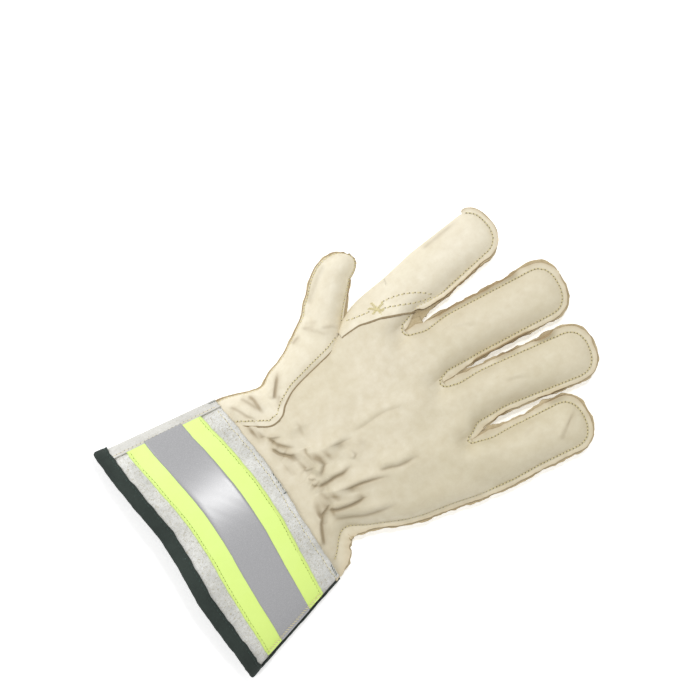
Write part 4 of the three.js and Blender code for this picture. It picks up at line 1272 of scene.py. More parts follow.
def thumb_side(plan, top, inner, sign, folds):
    """Points and creases of one leaf of the thumb. Across it, its height is a full arch on top of a quarter
    round that comes down from the height at the inner edge to none at the outer edge."""
    bow = np.clip(1 - ((thumb_v[None] + 1) / 2) ** 2, 0, 1) ** 0.5
    curve = finger_arch(thumb_v) if sign > 0 else flat_arch(thumb_v)
    shut = narrowed[:, None] ** 0.9
    body = (np.maximum(top - inner, 0)[:, None] * curve[None] + inner[:, None] * bow) * shut
    extra, crease = fold_height(plan, folds)
    body = body + extra * np.minimum(1, 3 * (1 - np.abs(thumb_v)))[None] * sign
    body = body * (1 - 0.3 * smooth((-43 - plan[..., 0]) / 7))
    if sign > 0:
        body = body - DENT_DEPTH * np.exp(-((path_distance(plan, THUMB_DENT) / 1.7) ** 2))
    rim = np.maximum(RIM * np.abs(thumb_v)[None], RIM * (1 - shut))
    rim = rim * np.where(thumb_v < 0, 1 - smooth(inner / 2)[:, None], 1.0)
    return with_height(plan, SEAM_HEIGHT + sign * np.hypot(np.maximum(body, 0), rim)), crease


thumb_back_points, thumb_crease_and_shade = thumb_side(thumb_plan, thumb_top, inner_height, 1, THUMB_FOLDS)
# A painted shade along the dent behind the thumb's tip
thumb_shade = np.exp(-((path_distance(thumb_plan, THUMB_DENT) / 1.8) ** 2)) * 0.28
left_edge = thumb_plan[:, -1]
right_edge = thumb_plan[CROTCH_STEP:, 0]
thumb_seam = np.r_[right_edge, left_edge[::-1][1:]]


def thumb_rims(level, width, seed, up):
    """The rim of a leaf of the thumb, along both of its sides and round the tip."""
    t = path_length(thumb_seam)
    far = thumb_seam[:, 0] - 0.55 * (thumb_seam[:, 1] - 90)
    left = np.arange(len(t)) > len(right_edge)
    reach = width * smooth(t / 14) * np.where(left, 0.45, 1.0) * (1 - 0.8 * smooth((far - 56) / 9))
    return rim_patch(with_height(thumb_seam, level), reach, 0 * t, seed, up=up)


thumb_back_patches = [
    patch(thumb_back_points, crease=thumb_crease_and_shade, shade=thumb_shade),
    thumb_rims(SEAM_HEIGHT + RIM, 1.1, 41, True),
    raw_edge(thumb_back_points[:CROTCH_STEP, 0], 1.4, 42),
]
add_leather("thumb_back", thumb_back_patches, LIT_LEATHER)

# The front leaf ends at the palm, along the seam of its strip
PALM_DEPTH = 8.7
strip_edge = np.stack([thumb_facts[:, 2], np.interp(thumb_facts[:, 2], *THUMB_STRIP_SEAM.T)], -1)
front_edge = np.where((thumb_u < THUMB_CROTCH)[:, None], strip_edge, thumb_facts[:, 2:4])
front_plan = thumb_points(front_edge)
front_depth = before_crotch(PALM_DEPTH)
thumb_front_points, front_crease_and_shade = thumb_side(front_plan, thumb_low, front_depth, -1, PALM_FOLDS)
thumb_front_patches = [
    patch(thumb_front_points, False, crease=front_crease_and_shade),
    thumb_rims(SEAM_HEIGHT - RIM, RIM_WIDTH, 43, False),
]
add_leather("thumb_front", thumb_front_patches, LEATHER)


# The palm patch and the wrist patch: an extra layer of darker split leather over the palm, and a
# half-round piece over the cuff at the heel of the hand. Both lie flat against the palm side.
PATCH_WALL = 0.8
PATCH_WAVE = 0.22
PALM_PATCH_MIDDLE = np.array((4.0, 4.0))
PALM_PATCH = np.array([
    (-46, 24), (-46, -18), (-34, -26), (-8, -32), (22, -30), (44, -14), (52, 8), (50, 34), (40, 44),
    (28, 44), (10, 36), (-14, 29),
])
# The wrist patch is a part of an oval: the oval's middle and half sizes, and the x of its straight edge
WRIST_PATCH_MIDDLE = np.array((-60.0, 0.5))
OVAL_MIDDLE, OVAL_SIZE, OVAL_CUT = (-43.0, 0.5), (40.0, 46.0), -47.5


def closed_curve(corners, steps):
    """A closed Catmull-Rom curve through corners in plan."""
    table = np.r_[corners[-1:], corners, corners[:2]]
    return through(table, 1 + np.linspace(0, len(corners), steps, endpoint=False))


def flat_patch(outline, middle, seed):
    """A flat piece of leather seen from below: rings from its middle to its outline, with a slow wave, a
    dip along its row of stitches and its edge rounded up."""
    rings = np.r_[np.linspace(0, 0.86, 26), np.linspace(0.88, 1, 10)]
    shut = np.r_[outline, outline[:1]]
    plan = middle + rings[None, :, None] * (shut - middle)[:, None]
    inset = (1 - rings)[None] * norm(shut - middle, axis=1)[:, None]
    wave = PATCH_WAVE * (1 + np.sin(plan[..., 0] / 9.0 + seed) * np.cos(plan[..., 1] / 7.0)) * 0.5
    dip = 0.25 * np.exp(-(((inset - 3.0) / 0.9) ** 2)) + 0.35 * np.exp(-((inset / 0.7) ** 2))
    return patch(with_height(plan, 0.05 + wave + dip), False, edge=np.exp(-((inset / 1.2) ** 2)))


patch_leather = make_grain_leather(
    "tan_patch_leather", (0.66, 0.59, 0.40), (0.55, 0.47, 0.28), (0.30, 0.22, 0.12), 0.72
)
PATCH_LEATHER = (patch_leather, tan_suede, cut_edge)
palm_outline = closed_curve(PALM_PATCH, 180)
palm_patch = flat_patch(palm_outline, PALM_PATCH_MIDDLE, 1)
add_leather("palm_patch", [palm_patch], PATCH_LEATHER, PATCH_WALL)
heel_turn = np.linspace(np.pi / 2, 3 * np.pi / 2, 120)
heel_arc = OVAL_MIDDLE + np.stack([np.cos(heel_turn), np.sin(heel_turn)], -1) * OVAL_SIZE
heel_arc = heel_arc[heel_arc[:, 0] < OVAL_CUT]
heel_edge = np.linspace(heel_arc[-1], heel_arc[0], 60)[1:-1]
wrist_patch = flat_patch(np.r_[heel_arc, heel_edge], WRIST_PATCH_MIDDLE, 4)
add_leather("wrist_patch", [wrist_patch], PATCH_LEATHER, PATCH_WALL)


# The cuff: two stiff pieces of speckled off-white canvas that go over the leather at the wrist. The
# lower one comes round the thumb side a little way onto the back, over the end of the upper one.

# Thickness of the canvas, the gap that stands for its stitching, and the cuff's two ends: the middle of
# each in plan, its half width, its height above and below the side seams, their height, and its bow
CANVAS = 1.3
GAP = 0.35
WRIST = {"x": -52.4, "y": 3.7, "half": 65.3, "top": 14.2, "bottom": 9.3, "side": 11.0, "bow": 4.6}
MOUTH = {"x": -129.6, "y": 4.0, "half": 81.5, "top": 22.0, "bottom": 12.3, "side": 14.0, "bow": 2.2}
# How much the cuff's ends slant over its width, and how far they sway to and fro
SLANT = 0.031
SWAY = 2.6
# How far the lower canvas comes onto the back, and how far the upper one is cut back at the wrist
WRAP = 8.0
WRIST_SET_BACK = 1.8
CUFF_LENGTH = WRIST["x"] - MOUTH["x"]
CUFF_MIDDLE = ((WRIST["x"] + MOUTH["x"]) / 2, 4.0, 16.0)
# Millimetres round the cuff to each unit of turn, at the canvas and at the binding
ROUND_CANVAS = 70.0
ROUND_MOUTH = 75.0
WRAP_TURN = np.arccos(1 - WRAP / MOUTH["half"])


def cuff_point(along, turn, grow=0.0):
    """A point of the cuff's outer side. along runs from 0 at the wrist to 1 at the mouth, turn goes round
    it, and grow moves it outward. The section is a low arch over a nearly flat floor, a little uneven."""
    row = {key: mix(WRIST[key], MOUTH[key], along) for key in WRIST}
    c, s = np.cos(turn), np.sin(turn)
    y = row["y"] + (row["half"] + grow) * c
    dent = 0.3 * np.sin(4.3 * turn + 1.6 * along) + 0.1 * np.sin(9.0 * turn - 3 * along) * along
    rise = (row["top"] + grow) * np.abs(s) ** 1.1 + (s > 0) * s**2 * dent
    drop = (row["bottom"] + grow) * np.abs(s) ** 0.35
    sway = SWAY * np.sin(np.pi * (y + 7) / 58) * np.exp(-((y / 62) ** 2)) * (0.35 + 0.45 * along)
    x = row["x"] + SLANT * (y - row["y"]) + sway + row["bow"] * (1 - c * c) * np.where(s >= 0, 1.0, 0.6)
    return np.stack([x, y, row["side"] + np.where(s >= 0, rise, -drop)], -1)


def wrapped_mesh(name, grid):
    """A mesh of a grid round the cuff, whose faces point away from its middle."""
    quads = grid_faces(*grid.shape[:2], 0)
    facing = (grid_normals(grid) * (grid[:-1, :-1] - CUFF_MIDDLE) * (0, 1, 1)).sum()
    quads = quads if facing > 0 else quads[:, ::-1]
    return new_mesh(name, grid.reshape(-1, 3), quads.tolist())


def make_weave_group():
    """Close plain cloth with flecks: Weave, height of the threads; Fleck, a few darker or coloured
    fibres; Cloud, slow changes of tone. Threads is their number to the metre, round the cuff."""
    inputs = {"Threads": 1400.0, "Flecks": 0.5}
    group, start, end = new_group("plain_weave", inputs, ("Weave", "Fleck", "Cloud"))
    place = object_place(group)
    stretch = add_node(group, "ShaderNodeMapping")
    stretch.inputs["Scale"].default_value = (0.45, 1.0, 1.0)
    join(group, place, stretch.inputs["Vector"])
    slub = cloud_noise(group, stretch.outputs["Vector"], start.outputs["Threads"], 3.0, 0.6)
    lumps = cloud_noise(group, place, 520.0, 3.0, 0.6, 0.8)
    join(group, shared(group, slub, 0.6, lumps, 0.4), end.inputs["Weave"])
    fibre = cloud_noise(group, place, 850.0, 4.0, 0.75, 1.5)
    limit = worked(group, "SUBTRACT", 0.78, worked(group, "MULTIPLY", start.outputs["Flecks"], 0.24))
    over = worked(group, "SUBTRACT", fibre, limit)
    join(group, worked(group, "MULTIPLY", over, 9.0, clamp=True), end.inputs["Fleck"])
    join(group, ranged(group, cloud_noise(group, place, 45.0, 4.0), 0.3, 0.7), end.inputs["Cloud"])
    return group


plain_weave = make_weave_group()


def make_cloth(name, pale, dark, fleck_colour, roughness, threads, flecks, strength, depth=0.0004):
    """Woven cloth in two tones with flecks of another colour."""
    made, tree, shader = add_material(name, pale, roughness, 0.25)
    weave = add_node(tree, "ShaderNodeGroup", node_tree=plain_weave, Threads=threads, Flecks=flecks)
    tone = shared(tree, weave.outputs["Weave"], 0.7, weave.outputs["Cloud"], 0.35)
    colour = blended(tree, ranged(tree, tone, 0.18, 0.8), dark, pale)
    colour = blended(tree, worked(tree, "MULTIPLY", weave.outputs["Fleck"], 0.8), colour, fleck_colour)
    join(tree, colour, shader.inputs["Base Color"])
    bumped(tree, shader, weave.outputs["Weave"], strength, depth)
    return made


canvas = make_cloth(
    "speckled_canvas", (0.90, 0.90, 0.87), (0.42, 0.42, 0.39), (0.36, 0.31, 0.17),
    roughness=0.92, threads=1000.0, flecks=1.05, strength=1.0, depth=0.0007,
)
wrap_canvas = make_cloth(
    "wrapped_canvas", (0.74, 0.735, 0.70), (0.48, 0.47, 0.43), (0.42, 0.38, 0.26),
    roughness=0.92, threads=1150.0, flecks=0.9, strength=0.9,
)
cut_canvas = make_cloth(
    "cut_canvas", (0.72, 0.70, 0.63), (0.5, 0.48, 0.42), (0.3, 0.28, 0.22),
    roughness=0.95, threads=2600.0, flecks=0.7, strength=0.9,
)
along_cuff = np.linspace(0, 1, 60)
back_turns = np.linspace(WRAP_TURN - 0.07, np.pi, 200)


def set_back(turns):
    """How far the cloth is cut back from the wrist over the back of the hand."""
    return WRIST_SET_BACK * np.clip(np.sin(turns), 0, 1) ** 2 / CUFF_LENGTH


def cuff_rows(turns, seed):
    """Rows from the uneven wrist edge to the mouth, for each turn."""
    start = 0.006 * ripple(turns * ROUND_CANVAS, seed) - 0.004 + set_back(turns)
    return start[None] + (1 - start)[None] * along_cuff[:, None]


back_along = cuff_rows(back_turns, 51)
back_grid = cuff_point(back_along, back_turns[None])
back_grid[..., 2] -= (1.2 * (1 - smooth((back_turns - WRAP_TURN + 0.02) / 0.06)))[None]
palm_turns = np.linspace(-np.pi, WRAP_TURN, 260)
palm_along = cuff_rows(palm_turns, 52)
over_back = smooth((palm_turns - 0.2) / 0.2)
palm_grid = cuff_point(palm_along, palm_turns[None], (0.95 * over_back)[None])


def grid_area(grid):
    """Area of a grid of points in square metres."""
    return norm(grid_normals(grid), axis=-1).sum() * MM**2


def flat_size(grid):
    """Width and length in metres that a piece of cloth is cut from: its longest row and its longest
    column laid straight."""
    round_it = norm(np.diff(grid, axis=1), axis=-1).sum(1).max()
    along_it = norm(np.diff(grid, axis=0), axis=-1).sum(0).max()
    return round_it * MM, along_it * MM


def add_cloth(name, grid, materials, node, wall):
    """A piece of cloth with its thickness, in place of its imported node. Its flat size and area are worked
    out.
    """
    made = add_piece(name, wrapped_mesh(name, grid), materials, node)
    add_wall(made, wall, 0, 1)
    width, length = flat_size(grid)
    area = min(grid_area(grid), width * length)


add_cloth(
    "cuff_back_canvas", back_grid, (canvas, cut_canvas),
    node="cuff_back", wall=CANVAS,
)
add_cloth(
    "cuff_palm_canvas", palm_grid, (wrap_canvas, cut_canvas),
    node="cuff_palm", wall=CANVAS,
)


# The bindings: dark green-black twill tape folded over the cuff's open edge and sewn through, and a
# narrow one down the seam on the little-finger side.

# How far the tape comes over the canvas, its thickness with its swell, how far in its stitches are, and
# the wave of its hem
BINDING_DEPTH = 7.6
BINDING = 1.1
BINDING_ROW = 1.6
HEM_WAVE = 0.35
SIDE_BINDING = 0.9
binding_cloth = make_cloth(
    "dark_binding_tape", (0.042, 0.056, 0.048), (0.018, 0.024, 0.021), (0.12, 0.2, 0.18),
    roughness=0.8, threads=5200.0, flecks=0.55, strength=0.5,
)
binding_from = 1 - BINDING_DEPTH / CUFF_LENGTH
binding_to = 1 + (BINDING + GAP) / CUFF_LENGTH
ring_turns = np.linspace(-np.pi, np.pi, 360)
hem, edge_wave, bulge = (ripple(ring_turns * ROUND_MOUTH, seed) for seed in (61, 62, 63))
hem, edge_wave, bulge = HEM_WAVE * hem / CUFF_LENGTH, 0.3 * edge_wave / CUFF_LENGTH, 0.12 * bulge
outer, inner = GAP + BINDING, -CANVAS - GAP - BINDING
fold_turn = np.linspace(0, np.pi, 9)
fold_middle, fold_radius = (outer + inner) / 2, (outer - inner) / 2
fold_along = binding_to - fold_radius * (1 - np.sin(fold_turn)) / CUFF_LENGTH
fold_grow = fold_middle + fold_radius * np.cos(fold_turn)
flank = np.linspace(binding_from, fold_along[0], 9)[:-1]
profile_along = np.r_[flank, fold_along, flank[::-1]]
profile_grow = np.r_[0 * flank + outer, fold_grow, 0 * flank + inner]
at_hem = np.r_[np.linspace(1, 0, len(flank)), 0 * fold_along, np.linspace(0, 1, len(flank))]
puff = 0.18 * np.sin(np.linspace(0, np.pi, len(profile_along))) ** 2
sewn_dip = 0.28 * np.exp(-(((profile_along - binding_from) * CUFF_LENGTH - BINDING_ROW) / 0.7) ** 2)
signed_dip = np.where(profile_grow > fold_middle, -sewn_dip, sewn_dip)
ring_along = profile_along[:, None] + at_hem[:, None] * hem[None] + edge_wave[None]
ring_grow = (profile_grow + signed_dip + puff * np.sign(profile_grow))[:, None] + bulge[None]
binding_grid = cuff_point(ring_along, ring_turns[None], ring_grow)
binding_grid[:, -1] = binding_grid[:, 0]


def ring_mesh(name, grid):
    """A mesh of a folded tape that runs round the cuff: a grid that closes on itself, facing outward."""
    rows, columns = grid.shape[0], grid.shape[1] - 1
    index = np.arange(rows * columns).reshape(rows, columns)
    right = np.roll(index, -1, 1)
    quads = np.stack([index[:-1], right[:-1], right[1:], index[1:]], -1).reshape(-1, 4)
    flank_normal = np.cross(grid[0, 1] - grid[0, 0], grid[1, 0] - grid[0, 0])
    outer_way = (grid[0, 0] - grid[0, columns // 2]) * (0, 1, 0)
    quads = quads[:, ::-1] if flank_normal @ outer_way < 0 else quads
    return new_mesh(name, grid[:, :-1].reshape(-1, 3), quads.tolist())


def add_binding(node, mesh, thickness):
    """A binding with its thickness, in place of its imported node."""
    made = add_piece(f"{node}_tape", mesh, (binding_cloth,), node)
    add_wall(made, thickness, 0, 0)


add_binding("cuff_binding", ring_mesh("cuff_binding", binding_grid), 0.9)
side_along = np.linspace(0.005, binding_from - GAP / CUFF_LENGTH, 70)
side_turns = np.pi + np.linspace(-0.115, 0.19, 12)
side_swell = 0.25 * ripple(side_along * CUFF_LENGTH, 71)
side_grow = GAP + SIDE_BINDING + (side_swell[:, None] + 0.2)
side_grid = cuff_point(side_along[:, None], side_turns[None], side_grow)
add_binding("side_binding", wrapped_mesh("side_binding", side_grid), 0.8)


# The reflective tape: a band of lime cloth sewn round the back of the cuff, with a silver stripe of
# glass-beaded cloth along its middle.

# Thickness and width of the tape and of the stripe. The widths are in plan, and the slope of the cuff
# makes them 51 and 26 mm. Then the place of their middle line along the cuff, and the turns at the ends
TAPE, TAPE_WIDTH = 0.5, 48.6
SILVER, SILVER_WIDTH = 0.35, 24.6
TAPE_MIDDLE = 0.487
TAPE_START, TAPE_END = WRAP_TURN - 0.03, np.pi - 0.19
# How far the tape is drawn toward the wrist, at places across the cuff: y, distance
TAPE_BOW = np.array([
    (-66, -0.6), (-54, 0.1), (-42, 0.8), (-30, 1.65), (-12, 2.35), (6, 1.7), (30, 1.15), (50, 1.0),
    (60, 0.4),
])


def make_lime():
    """Fluorescent lime cloth: fine knit, brighter than its surroundings because it glows a little. It is
    darker toward the little-finger side, a painted shade.
    """
    made, tree, shader = add_material("fluorescent_lime", (0.80, 0.95, 0.36), 0.62, 0.3)
    place = object_place(tree)
    apart = add_node(tree, "ShaderNodeSeparateXYZ")
    join(tree, place, apart.inputs[0])
    # Painted shade: the lime grows darker toward the little-finger side, at low Y
    aside = ranged(tree, apart.outputs["Y"], 0.06, -0.05)
    weave = add_node(tree, "ShaderNodeGroup", node_tree=plain_weave, Threads=5200.0, Flecks=0.2)
    tone = shared(tree, weave.outputs["Cloud"], 0.4, aside, 0.6)
    colour = blended(tree, tone, (0.77, 0.95, 0.33), (0.72, 0.90, 0.24))
    deep = ranged(tree, weave.outputs["Weave"], 0.3, 0.8, 0.12, 0.0)
    colour = blended(tree, deep, colour, (0.4, 0.62, 0.05))
    join(tree, colour, shader.inputs["Base Color"])
    shader.inputs["Emission Color"].default_value = (0.72, 1.0, 0.12, 1.0)
    shader.inputs["Emission Strength"].default_value = 0.06
    bumped(tree, shader, weave.outputs["Weave"], 0.25, 0.0002)
    return made


def make_silver():
    """Silver cloth coated with glass beads: grey with a soft sheen and a fine sparkle."""
    made, tree, shader = add_material("beaded_silver", (0.42, 0.42, 0.43), 0.26, 0.42)
    place = object_place(tree)
    beads = cloud_noise(tree, place, 1800.0, 2.0, 0.6)
    colour = blended(tree, ranged(tree, beads, 0.3, 0.7), (0.36, 0.36, 0.37), (0.42, 0.42, 0.43))
    join(tree, colour, shader.inputs["Base Color"])
    join(tree, ranged(tree, beads, 0.3, 0.7, 0.24, 0.29), shader.inputs["Roughness"])
    bumped(tree, shader, beads, 0.05, 0.0002)
    return made


lime_cloth, silver_cloth = make_lime(), make_silver()


def tape_middle(turns):
    """Distance along the cuff of the tape's middle line, at each turn."""
    y = cuff_point(TAPE_MIDDLE, turns)[..., 1]
    return TAPE_MIDDLE - np.interp(y, *TAPE_BOW.T) / CUFF_LENGTH


def tape_grid(width, start, end, grow, seed, wave=0.25, swell=0.1):
    """A band of tape round the back of the cuff, its long edges a little uneven."""
    turns = np.linspace(start, end, 190)
    half = width / 2 / CUFF_LENGTH
    t = turns * ROUND_CANVAS
    edge = wave * np.stack([ripple(t, seed), ripple(t, seed + 1)]) / CUFF_LENGTH
    across = np.linspace(0, 1, 24)[:, None]
    low, high = tape_middle(turns) - half + edge[0], tape_middle(turns) + half + edge[1]
    lift = swell * ripple(t + 40 * across, seed + 2)
    press = 0.12 * (1 - smooth(np.minimum(across, 1 - across) / 0.08))
    return cuff_point(low + (high - low) * across, turns[None], grow + lift - press)


lime_grid = tape_grid(TAPE_WIDTH, TAPE_START, TAPE_END, GAP + TAPE, 81)
add_cloth(
    "reflective_tape_cloth", lime_grid, (lime_cloth, lime_cloth),
    node="reflective_tape", wall=TAPE,
)
silver_grid = tape_grid(
    SILVER_WIDTH, TAPE_START, TAPE_END - 0.003, GAP + TAPE + 0.42, 81, wave=0.1, swell=0.02
)
add_cloth(
    "silver_stripe_cloth", silver_grid, (silver_cloth, silver_cloth),
    node="silver_stripe", wall=SILVER,
)


# The stitches: pale yellow thread in short slanted lock stitches, pulled a little way into the leather,
# with a needle hole at each end, a small dish painted dark as the shade in the hole. They are joined into
# one piece for each side of the glove.

# Spacing, length and half thickness of a stitch, radius of a needle hole, and the sections of a stitch:
# their places along it, their share of its thickness and their number of sides
STITCH_PITCH = 2.15
STITCH_LENGTH = 1.25
THREAD = 0.34
HOLE = 0.46
NO_HOLE = 0.02
STITCH_RINGS = np.array([-1.0, -0.62, 0.0, 0.62, 1.0])
STITCH_TAPER = np.array([0.35, 0.9, 1.0, 0.9, 0.35])
THREAD_SIDES = 6


def surface_at(plan, cloud, sign=1):
    """Points and normals of a surface, given as a cloud of points, over points in plan: a plane through
    the nearest points, fitted by least squares with near ones counting for more."""
    pick, weight = nearest(plan, cloud, 9, 0.05)
    local = cloud[pick] - with_height(plan, 0.0)[:, None]
    basis = np.concatenate([np.ones_like(local[..., :1]), local[..., :2]], -1)
    normal_matrix = np.einsum("nki,nkj,nk->nij", basis, basis, weight) + 1e-6 * np.eye(3)
    right = np.einsum("nki,nk,nk->ni", basis, local[..., 2], weight)
    height, slope_x, slope_y = np.linalg.solve(normal_matrix, right[..., None])[..., 0].T
    normal = unit(np.stack([-slope_x, -slope_y, np.ones_like(slope_x)], -1))
    return with_height(plan, height), normal * sign


def spaced(t, pitch):
    """Distances a pitch apart along a path whose points lie at the distances t."""
    count = int(t[-1] / pitch)
    return (np.arange(count) + 0.5) * t[-1] / count


def resampled(path, pitch):
    """Points a pitch apart along a path."""
    t = path_length(path)
    at = spaced(t, pitch)
    return np.stack([np.interp(at, t, path[:, axis]) for axis in range(path.shape[1])], -1)


def offset_path(path, distance):
    """A path in plan moved to the right of its way by a distance."""
    return path + outward(path) * distance


def stitch_facts(points, normals, seed, slant=0.12, length=STITCH_LENGTH, hole=HOLE):
    """Middle, half vector and normal of each stitch in a row of points on a surface, and the radius of
    its needle hole."""
    way = unit(np.gradient(points, axis=0))
    aside = np.cross(normals, way)
    rng = np.random.default_rng(seed)
    turn = slant + rng.normal(0, 0.07, len(points))
    long = length * (1 + rng.normal(0, 0.06, len(points)))
    half = (way * np.cos(turn)[:, None] + aside * np.sin(turn)[:, None]) * (long / 2)[:, None]
    return points, half, normals, np.full(len(points), hole)


def sewn_row(path, cloud, sign=1, pitch=STITCH_PITCH, seed=1, **look):
    """Stitches along a path in plan, laid on a surface."""
    return stitch_facts(*surface_at(resampled(path, pitch), cloud, sign), seed, **look)


def seam_row(path, seed, level=SEAM_HEIGHT + RIM, pitch=STITCH_PITCH, **look):
    """Stitches along a seam with its rim outside, in the dip between the rim and the leather's swell."""
    plan = resampled(path, pitch)
    points = with_height(plan, level + 0.25 + fork_lift(plan))
    return stitch_facts(points, np.tile((0.0, 0.0, 1.0), (len(plan), 1)), seed, **look)


def stitches_mesh(name, rows, thread=THREAD):
    """A mesh of all stitches of some rows. Each is a short tapered tube that arches over the surface,
    and at its far end is a needle hole, a small dish whose dark colour is a painted shade in the hole."""
    middle, half, normal, hole_size = (np.concatenate([row[i] for row in rows]) for i in range(4))
    count, rings = len(middle), len(STITCH_RINGS)
    aside = unit(np.cross(normal, half))
    angle = 2 * np.pi * np.arange(THREAD_SIDES) / THREAD_SIDES
    c, s = np.cos(angle)[None, :, None], np.sin(angle)[None, :, None]
    lift = thread * (0.95 - 0.95 * STITCH_RINGS**2)
    centre = middle[:, None] + half[:, None] * STITCH_RINGS[None, :, None]
    centre = centre + normal[:, None] * lift[None, :, None]
    across = aside[:, None] * c + normal[:, None] * 0.8 * s
    tube = centre[:, :, None] + thread * STITCH_TAPER[None, :, None, None] * across[:, None]
    index = np.arange(count * rings * THREAD_SIDES).reshape(count, rings, THREAD_SIDES)
    right = np.roll(index, -1, 2)
    sides = np.stack([index[:, :-1], right[:, :-1], right[:, 1:], index[:, 1:]], -1).reshape(-1, 4)
    caps = np.r_[index[:, 0, ::-1], index[:, -1]]
    rim = (unit(half)[:, None] * c + aside[:, None] * s) * hole_size[:, None, None]
    hole_middle = middle + half * 1.5 + normal * 0.07
    hole = np.concatenate([(hole_middle + normal * 0.10)[:, None], hole_middle[:, None] + rim], 1)
    hole_index = index.size + np.arange(count * (THREAD_SIDES + 1)).reshape(count, THREAD_SIDES + 1)
    ring = hole_index[:, 1:]
    hub = np.broadcast_to(hole_index[:, :1], ring.shape)
    dish = np.stack([hub, ring, np.roll(ring, -1, 1)], -1).reshape(-1, 3)
    base = ring[:, ::-1]
    points = np.r_[tube.reshape(-1, 3), hole.reshape(-1, 3)]
    mesh = new_mesh(name, points, sides.tolist() + caps.tolist() + dish.tolist() + base.tolist())
    which = np.r_[np.zeros(len(sides) + len(caps), np.int32), np.ones(len(dish) + len(base), np.int32)]
    mesh.attributes.new("material_index", "INT", "FACE").data.foreach_set("value", which)
    return mesh


def add_stitches(name, rows, materials, thread=THREAD):
    """All stitches of some rows as one piece, with the materials of its thread and of its holes."""
    add_piece(name, stitches_mesh(name, rows, thread), materials)


def make_thread(name, pale, dark):
    """Waxed thread, in two tones of its twist."""
    made, tree, shader = add_material(name, pale, 0.7, 0.3)
    place = object_place(tree)
    twist = cloud_noise(tree, place, 1500.0, 2.0, 0.5)
    join(tree, blended(tree, ranged(tree, twist, 0.35, 0.65), dark, pale), shader.inputs["Base Color"])
    bumped(tree, shader, twist, 0.3, 0.0002)
    return made


yellow_thread = make_thread("pale_yellow_thread", (0.80, 0.73, 0.44), (0.66, 0.58, 0.30))
# The holes' colour: a painted shade, in place of the shadow in each needle hole
needle_hole_shade = make_thread("needle_hole_shade", (0.37, 0.31, 0.16), (0.29, 0.23, 0.11))
YELLOW_STITCHES = (yellow_thread, needle_hole_shade)


def evened(path, times=3):
    """A path with its corners rounded, each point drawn to the middle of its neighbours."""
    for _ in range(times):
        path = np.r_[path[:1], (path[:-2] + 2 * path[1:-1] + path[2:]) / 4, path[-1:]]
    return path


# How far the stitches keep clear of the bottom of a fork
FORK_BOTTOM = 2.2


def seam_line(lead, last):
    """The line lead, then the seams of three fingers, round the bottom of each fork between them, and on
    round the fork at the index finger to the line last. Its points are 1 mm apart."""
    line = [lead, SEAMS[LITTLE][0]]
    for finger in (RING, MIDDLE):
        axis = finger_axes(finger)[1] + finger_axes(finger - 1)[1]
        line += [(KNUCKLES[finger] - 0.55 * FORK_BOTTOM * axis)[None], SEAMS[finger][0]]
    line += [(KNUCKLES[INDEX] - 0.8 * FORK_BOTTOM * finger_axes(INDEX)[1])[None], last]
    return evened(resampled(np.concatenate(line), 1.0))


# How far inside the seams the stitches lie
INSIDE = 0.15
thumb_cloud = cloud_of(thumb_back_patches)
upper_cloud = cloud_of(back_patches + palm_patches[1:3])
long_seam = seam_line(hand_edge[hand_edge[:, 0] > -52][:-1], SEAMS[INDEX][0][:sewn_start])
index_sewn = SEAMS[INDEX][0][sewn_part][:-2]
upper_rows = [
    seam_row(offset_path(long_seam, -INSIDE), 1),
    seam_row(offset_path(index_sewn, -INSIDE), 4, SEAM_HEIGHT + RIM + 0.9),
    seam_row(offset_path(thumb_seam[4:], -INSIDE), 5, hole=0.3),
]
# The rows beside the lapped seams, and the lens of stitches with its tacks at the index finger's root
LAP_STITCH = 2.7
LENS_ROWS = (
    [(63.5, 55.2), (68.4, 54.5), (77, 51.9), (83.5, 48.4), (89.3, 44.1), (92.4, 40.2)],
    [(61.8, 52.0), (66.5, 50.2), (71, 48), (79.7, 43.3), (86.2, 40.6), (91, 39.4)],
    [(40.5, 59.5), (43.7, 58), (50, 56.3), (56.3, 54.6)],
)
TACKS = ([(60, 58.5), (61.1, 47.9)], [(55.3, 52.3), (65.8, 54.2)], [(56.5, 56.8), (64, 49.5)])
lap_line = resampled(BACK_SEAM, 1.0)
thumb_lap = lap_line[(lap_line[:, 0] > -50) & (lap_line[:, 0] < 31)]
upper_rows.append(sewn_row(offset_path(thumb_lap, -LAP_STITCH), thumb_cloud, seed=6))
for seed, row in enumerate(LENS_ROWS):
    line = evened(resampled(np.array(row), 0.8), 6)
    upper_rows.append(sewn_row(line, upper_cloud, pitch=3.0, seed=20 + seed, length=1.7))
TACK_LOOK = {"pitch": 0.9, "slant": 0.9, "length": 2.2, "hole": NO_HOLE}
for seed, row in enumerate(TACKS):
    upper_rows.append(sewn_row(np.array(row), upper_cloud, seed=30 + seed, **TACK_LOOK))
add_stitches("upper_stitches", upper_rows, YELLOW_STITCHES)


# The stitches of the palm side: two rows round the palm patch, one round the wrist patch, two across the
# roots of the finger fronts, and one beside the seam of the thumb's strip.
PATCH_ROWS, FRONT_ROWS, STRIP_ROW = (2.4, 4.4), (1.2, 3.4), 2.2


def lower_row(path, sewn_patch, seed):
    """Long stitches along a path in plan, on the lower side of a patch."""
    return sewn_row(path, cloud_of([sewn_patch]), -1, 3.0, seed, length=1.9)


